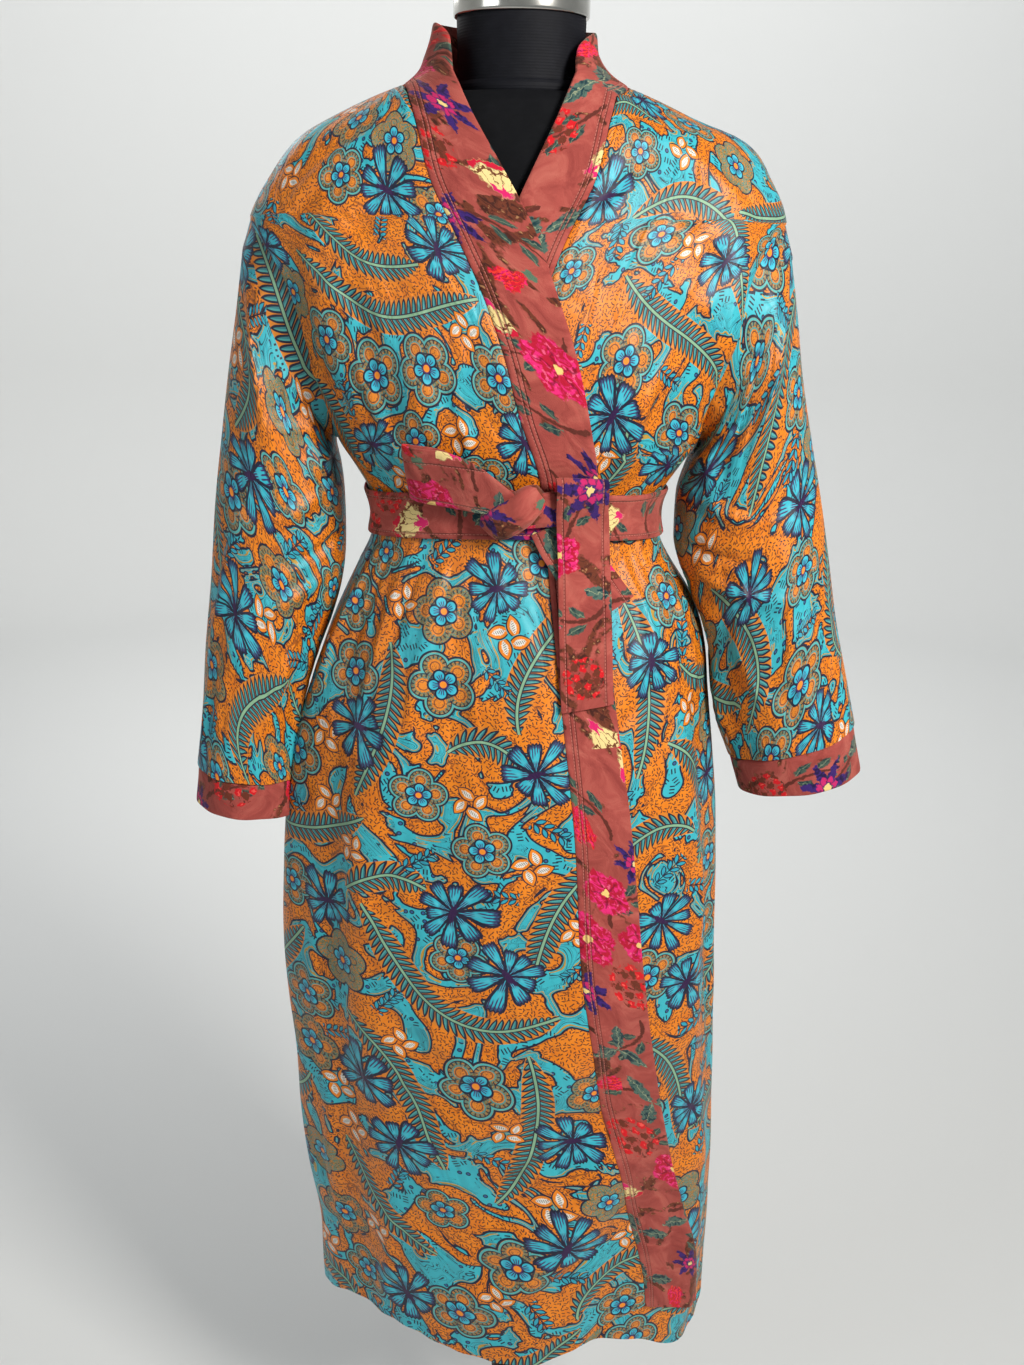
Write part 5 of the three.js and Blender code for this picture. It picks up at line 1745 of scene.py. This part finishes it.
def bundle(name, rings, seed, shift):
    """Closed bundle of folded velvet from its rings of points"""
    flat = flat_pattern(rings, True, 0)
    layers = velvet_layers(flat, seed)
    points = np.concatenate([rings.reshape(-1, 3), rings[[0, -1]].mean(1)])
    faces = tube_faces(*rings.shape[:2]) + fans(*rings.shape[:2])
    piece = mesh_piece(name, points, faces, CUFF_VELVET)
    count = len(piece.data.loops)
    uvs = padded(corners_of(flat), count, 0.0) + (shift, 0.0)
    keep_layers(piece.data, uvs, {key: padded(value, count, FAR) for key, value in layers.items()})
    turn_outwards()
    bpy.ops.object.shade_smooth()
    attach(piece, "root")
    return piece


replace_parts(bundle("belt_knot_cloth", knot(KNOT, KNOT_OUT, 34, 56), 89, KNOT_PRINT), "belt_knot")
bundle("belt_knot_wrap", knot(WRAP, WRAP_OUT, 30, 48), 97, WRAP_PRINT)


# Dress form and stand
def turned(name, outline, steps, material):
    """Outline of radii and heights in millimetres, spun round the pole's line"""
    rows = np.array([row for row in outline if row[0]], float)
    around = TURN * np.arange(steps) / steps
    radius, z = rows[:, :1], rows[:, 1:] * np.ones(steps)
    rings = np.stack([radius * np.cos(around), radius * np.sin(around), z], -1)
    ends = [(0, 0, z) for radius, z in outline if not radius]
    points = np.concatenate([rings.reshape(-1, 3), ends])
    faces = tube_faces(len(rows), steps) + fans(len(rows), steps)[:steps * len(ends)]
    piece = mesh_piece(name, points, faces, material)
    turn_outwards()
    return smooth_below(piece, ROUND_ANGLE)


def dress_form():
    """The form's body, from below the hips to the flat of the neck"""
    heights = np.concatenate([np.linspace(905, 1573, 90), np.linspace(1573, 1594, 10)[1:]])[:, None]
    around = np.radians(np.arange(0, 360, 4))
    side, front_, back_ = (between(FORM, "z", name, heights) for name in ("side", "front", "back"))
    depth = np.where(np.sin(around) > 0, back_, front_)
    high = heights * np.ones(len(around))
    rings = np.stack([side * np.cos(around), depth * np.sin(around), high], -1)
    rows, columns = rings.shape[:2]
    ends = [list(range(columns))[::-1], [(rows - 1) * columns + k for k in range(columns)]]
    faces = tube_faces(rows, columns) + ends
    return smooth_below(mesh_piece("dress_form", rings.reshape(-1, 3), faces, FORM_CLOTH), FORM_ANGLE)


belongs(dress_form(), "form_body")

# Radii and heights of what is round
NECK = (
    (0, 1594.3), (60, 1594.3), (60.6, 1596), (60.6, 1600), (59.4, 1602), (57.6, 1604), (57.2, 1615),
    (57.4, 1636), (58, 1655), (57.4, 1658), (0, 1658),
)
CAP = (
    (0, 1658.3), (60, 1658.3), (60.8, 1659.2), (61, 1661), (61, 1679), (60.6, 1682), (59, 1685),
    (56, 1687), (36, 1691), (12, 1693), (0, 1693.2),
)
POLE = ((0, 17.3), (16, 17.3), (16, 904.7), (0, 904.7))
BASE = (
    (0, 0), (150.6, 0), (152, 1.4), (152, 7), (151, 8.8), (146, 12), (120, 13.2), (60, 16.6), (24, 17),
    (0, 17),
)
for name, outline, steps, material, node, slot in (
    ("form_neck_block", NECK, 96, NECK_CLOTH, "form_neck", "form"),
    ("neck_cap_metal", CAP, 96, CHROME, "neck_cap", "cap"),
    ("stand_pole", POLE, 48, BLACK_METAL, "pole", "stand"),
    ("stand_base", BASE, 96, BLACK_METAL, "base", "stand"),
):
    belongs(turned(name, outline, steps, material), node)

# Pale floor that rises to a round backdrop
FLOOR_END, FLOOR_BEND = 4200, 900
profile = [(0, 0), (FLOOR_END, 0)]
for bend in np.radians(np.arange(8, 91, 8)).tolist():
    profile.append((FLOOR_END + FLOOR_BEND * math.sin(bend), FLOOR_BEND - FLOOR_BEND * math.cos(bend)))
profile += [(FLOOR_END + FLOOR_BEND, FLOOR_BEND), (FLOOR_END + FLOOR_BEND, 4200)]
floor = turned("floor", profile, 96, plain_material("pale_floor", (224, 225, 224), 0.9))


def area_light(name, place, target, size, power, tint, spread=180):
    data = bpy.data.lights.new(name, "AREA")
    data.size, data.energy, data.color = size, power, tint
    data.spread = math.radians(spread)
    light = bpy.data.objects.new(name, data)
    light.location = place
    light.rotation_euler = (Vector(target) - Vector(place)).to_track_quat("-Z", "Y").to_euler()
    bpy.context.scene.collection.objects.link(light)


area_light("key", (1.5, -1.8, 2.35), (0, 0, 1.35), 0.7, 38, (1.0, 0.97, 0.92), 125)
area_light("fill", (-2.2, -1.7, 1.9), (0, 0, 1.0), 1.4, 12, (0.95, 0.98, 1.0))
area_light("rear_key", (-1.4, 2.0, 2.6), (0, 0, 1.1), 1.2, 14, (1.0, 1.0, 1.0))
area_light("backdrop", (0, 2.2, 3.6), (0, 5.0, 1.4), 2.4, 86, (1.0, 1.0, 1.0))

world = bpy.data.worlds.new("room")
world.use_nodes = True
sky = world.node_tree.nodes["Background"]
sky.inputs[0].default_value = (0.92, 0.95, 0.97, 1)
sky.inputs[1].default_value = 0.27
bpy.context.scene.world = world

# Camera
PITCH, ROLL = math.radians(17.46), math.radians(0.7)
ahead = Vector((0, math.cos(PITCH), -math.sin(PITCH)))
level, rise = Vector((1, 0, 0)), Vector((0, math.sin(PITCH), math.cos(PITCH)))
right = level * math.cos(ROLL) + rise * math.sin(ROLL)
up = rise * math.cos(ROLL) - level * math.sin(ROLL)
lens_data = bpy.data.cameras.new("camera")
lens_data.sensor_width = 36
lens_data.lens = 36.92
camera = bpy.data.objects.new("camera", lens_data)
looks = Matrix((right, up, -ahead)).transposed().to_4x4()
camera.matrix_world = Matrix.Translation((-0.0014, -1.370, 1.468)) @ looks
bpy.context.scene.collection.objects.link(camera)
bpy.context.scene.camera = camera
bpy.context.scene.view_settings.view_transform = "Standard"
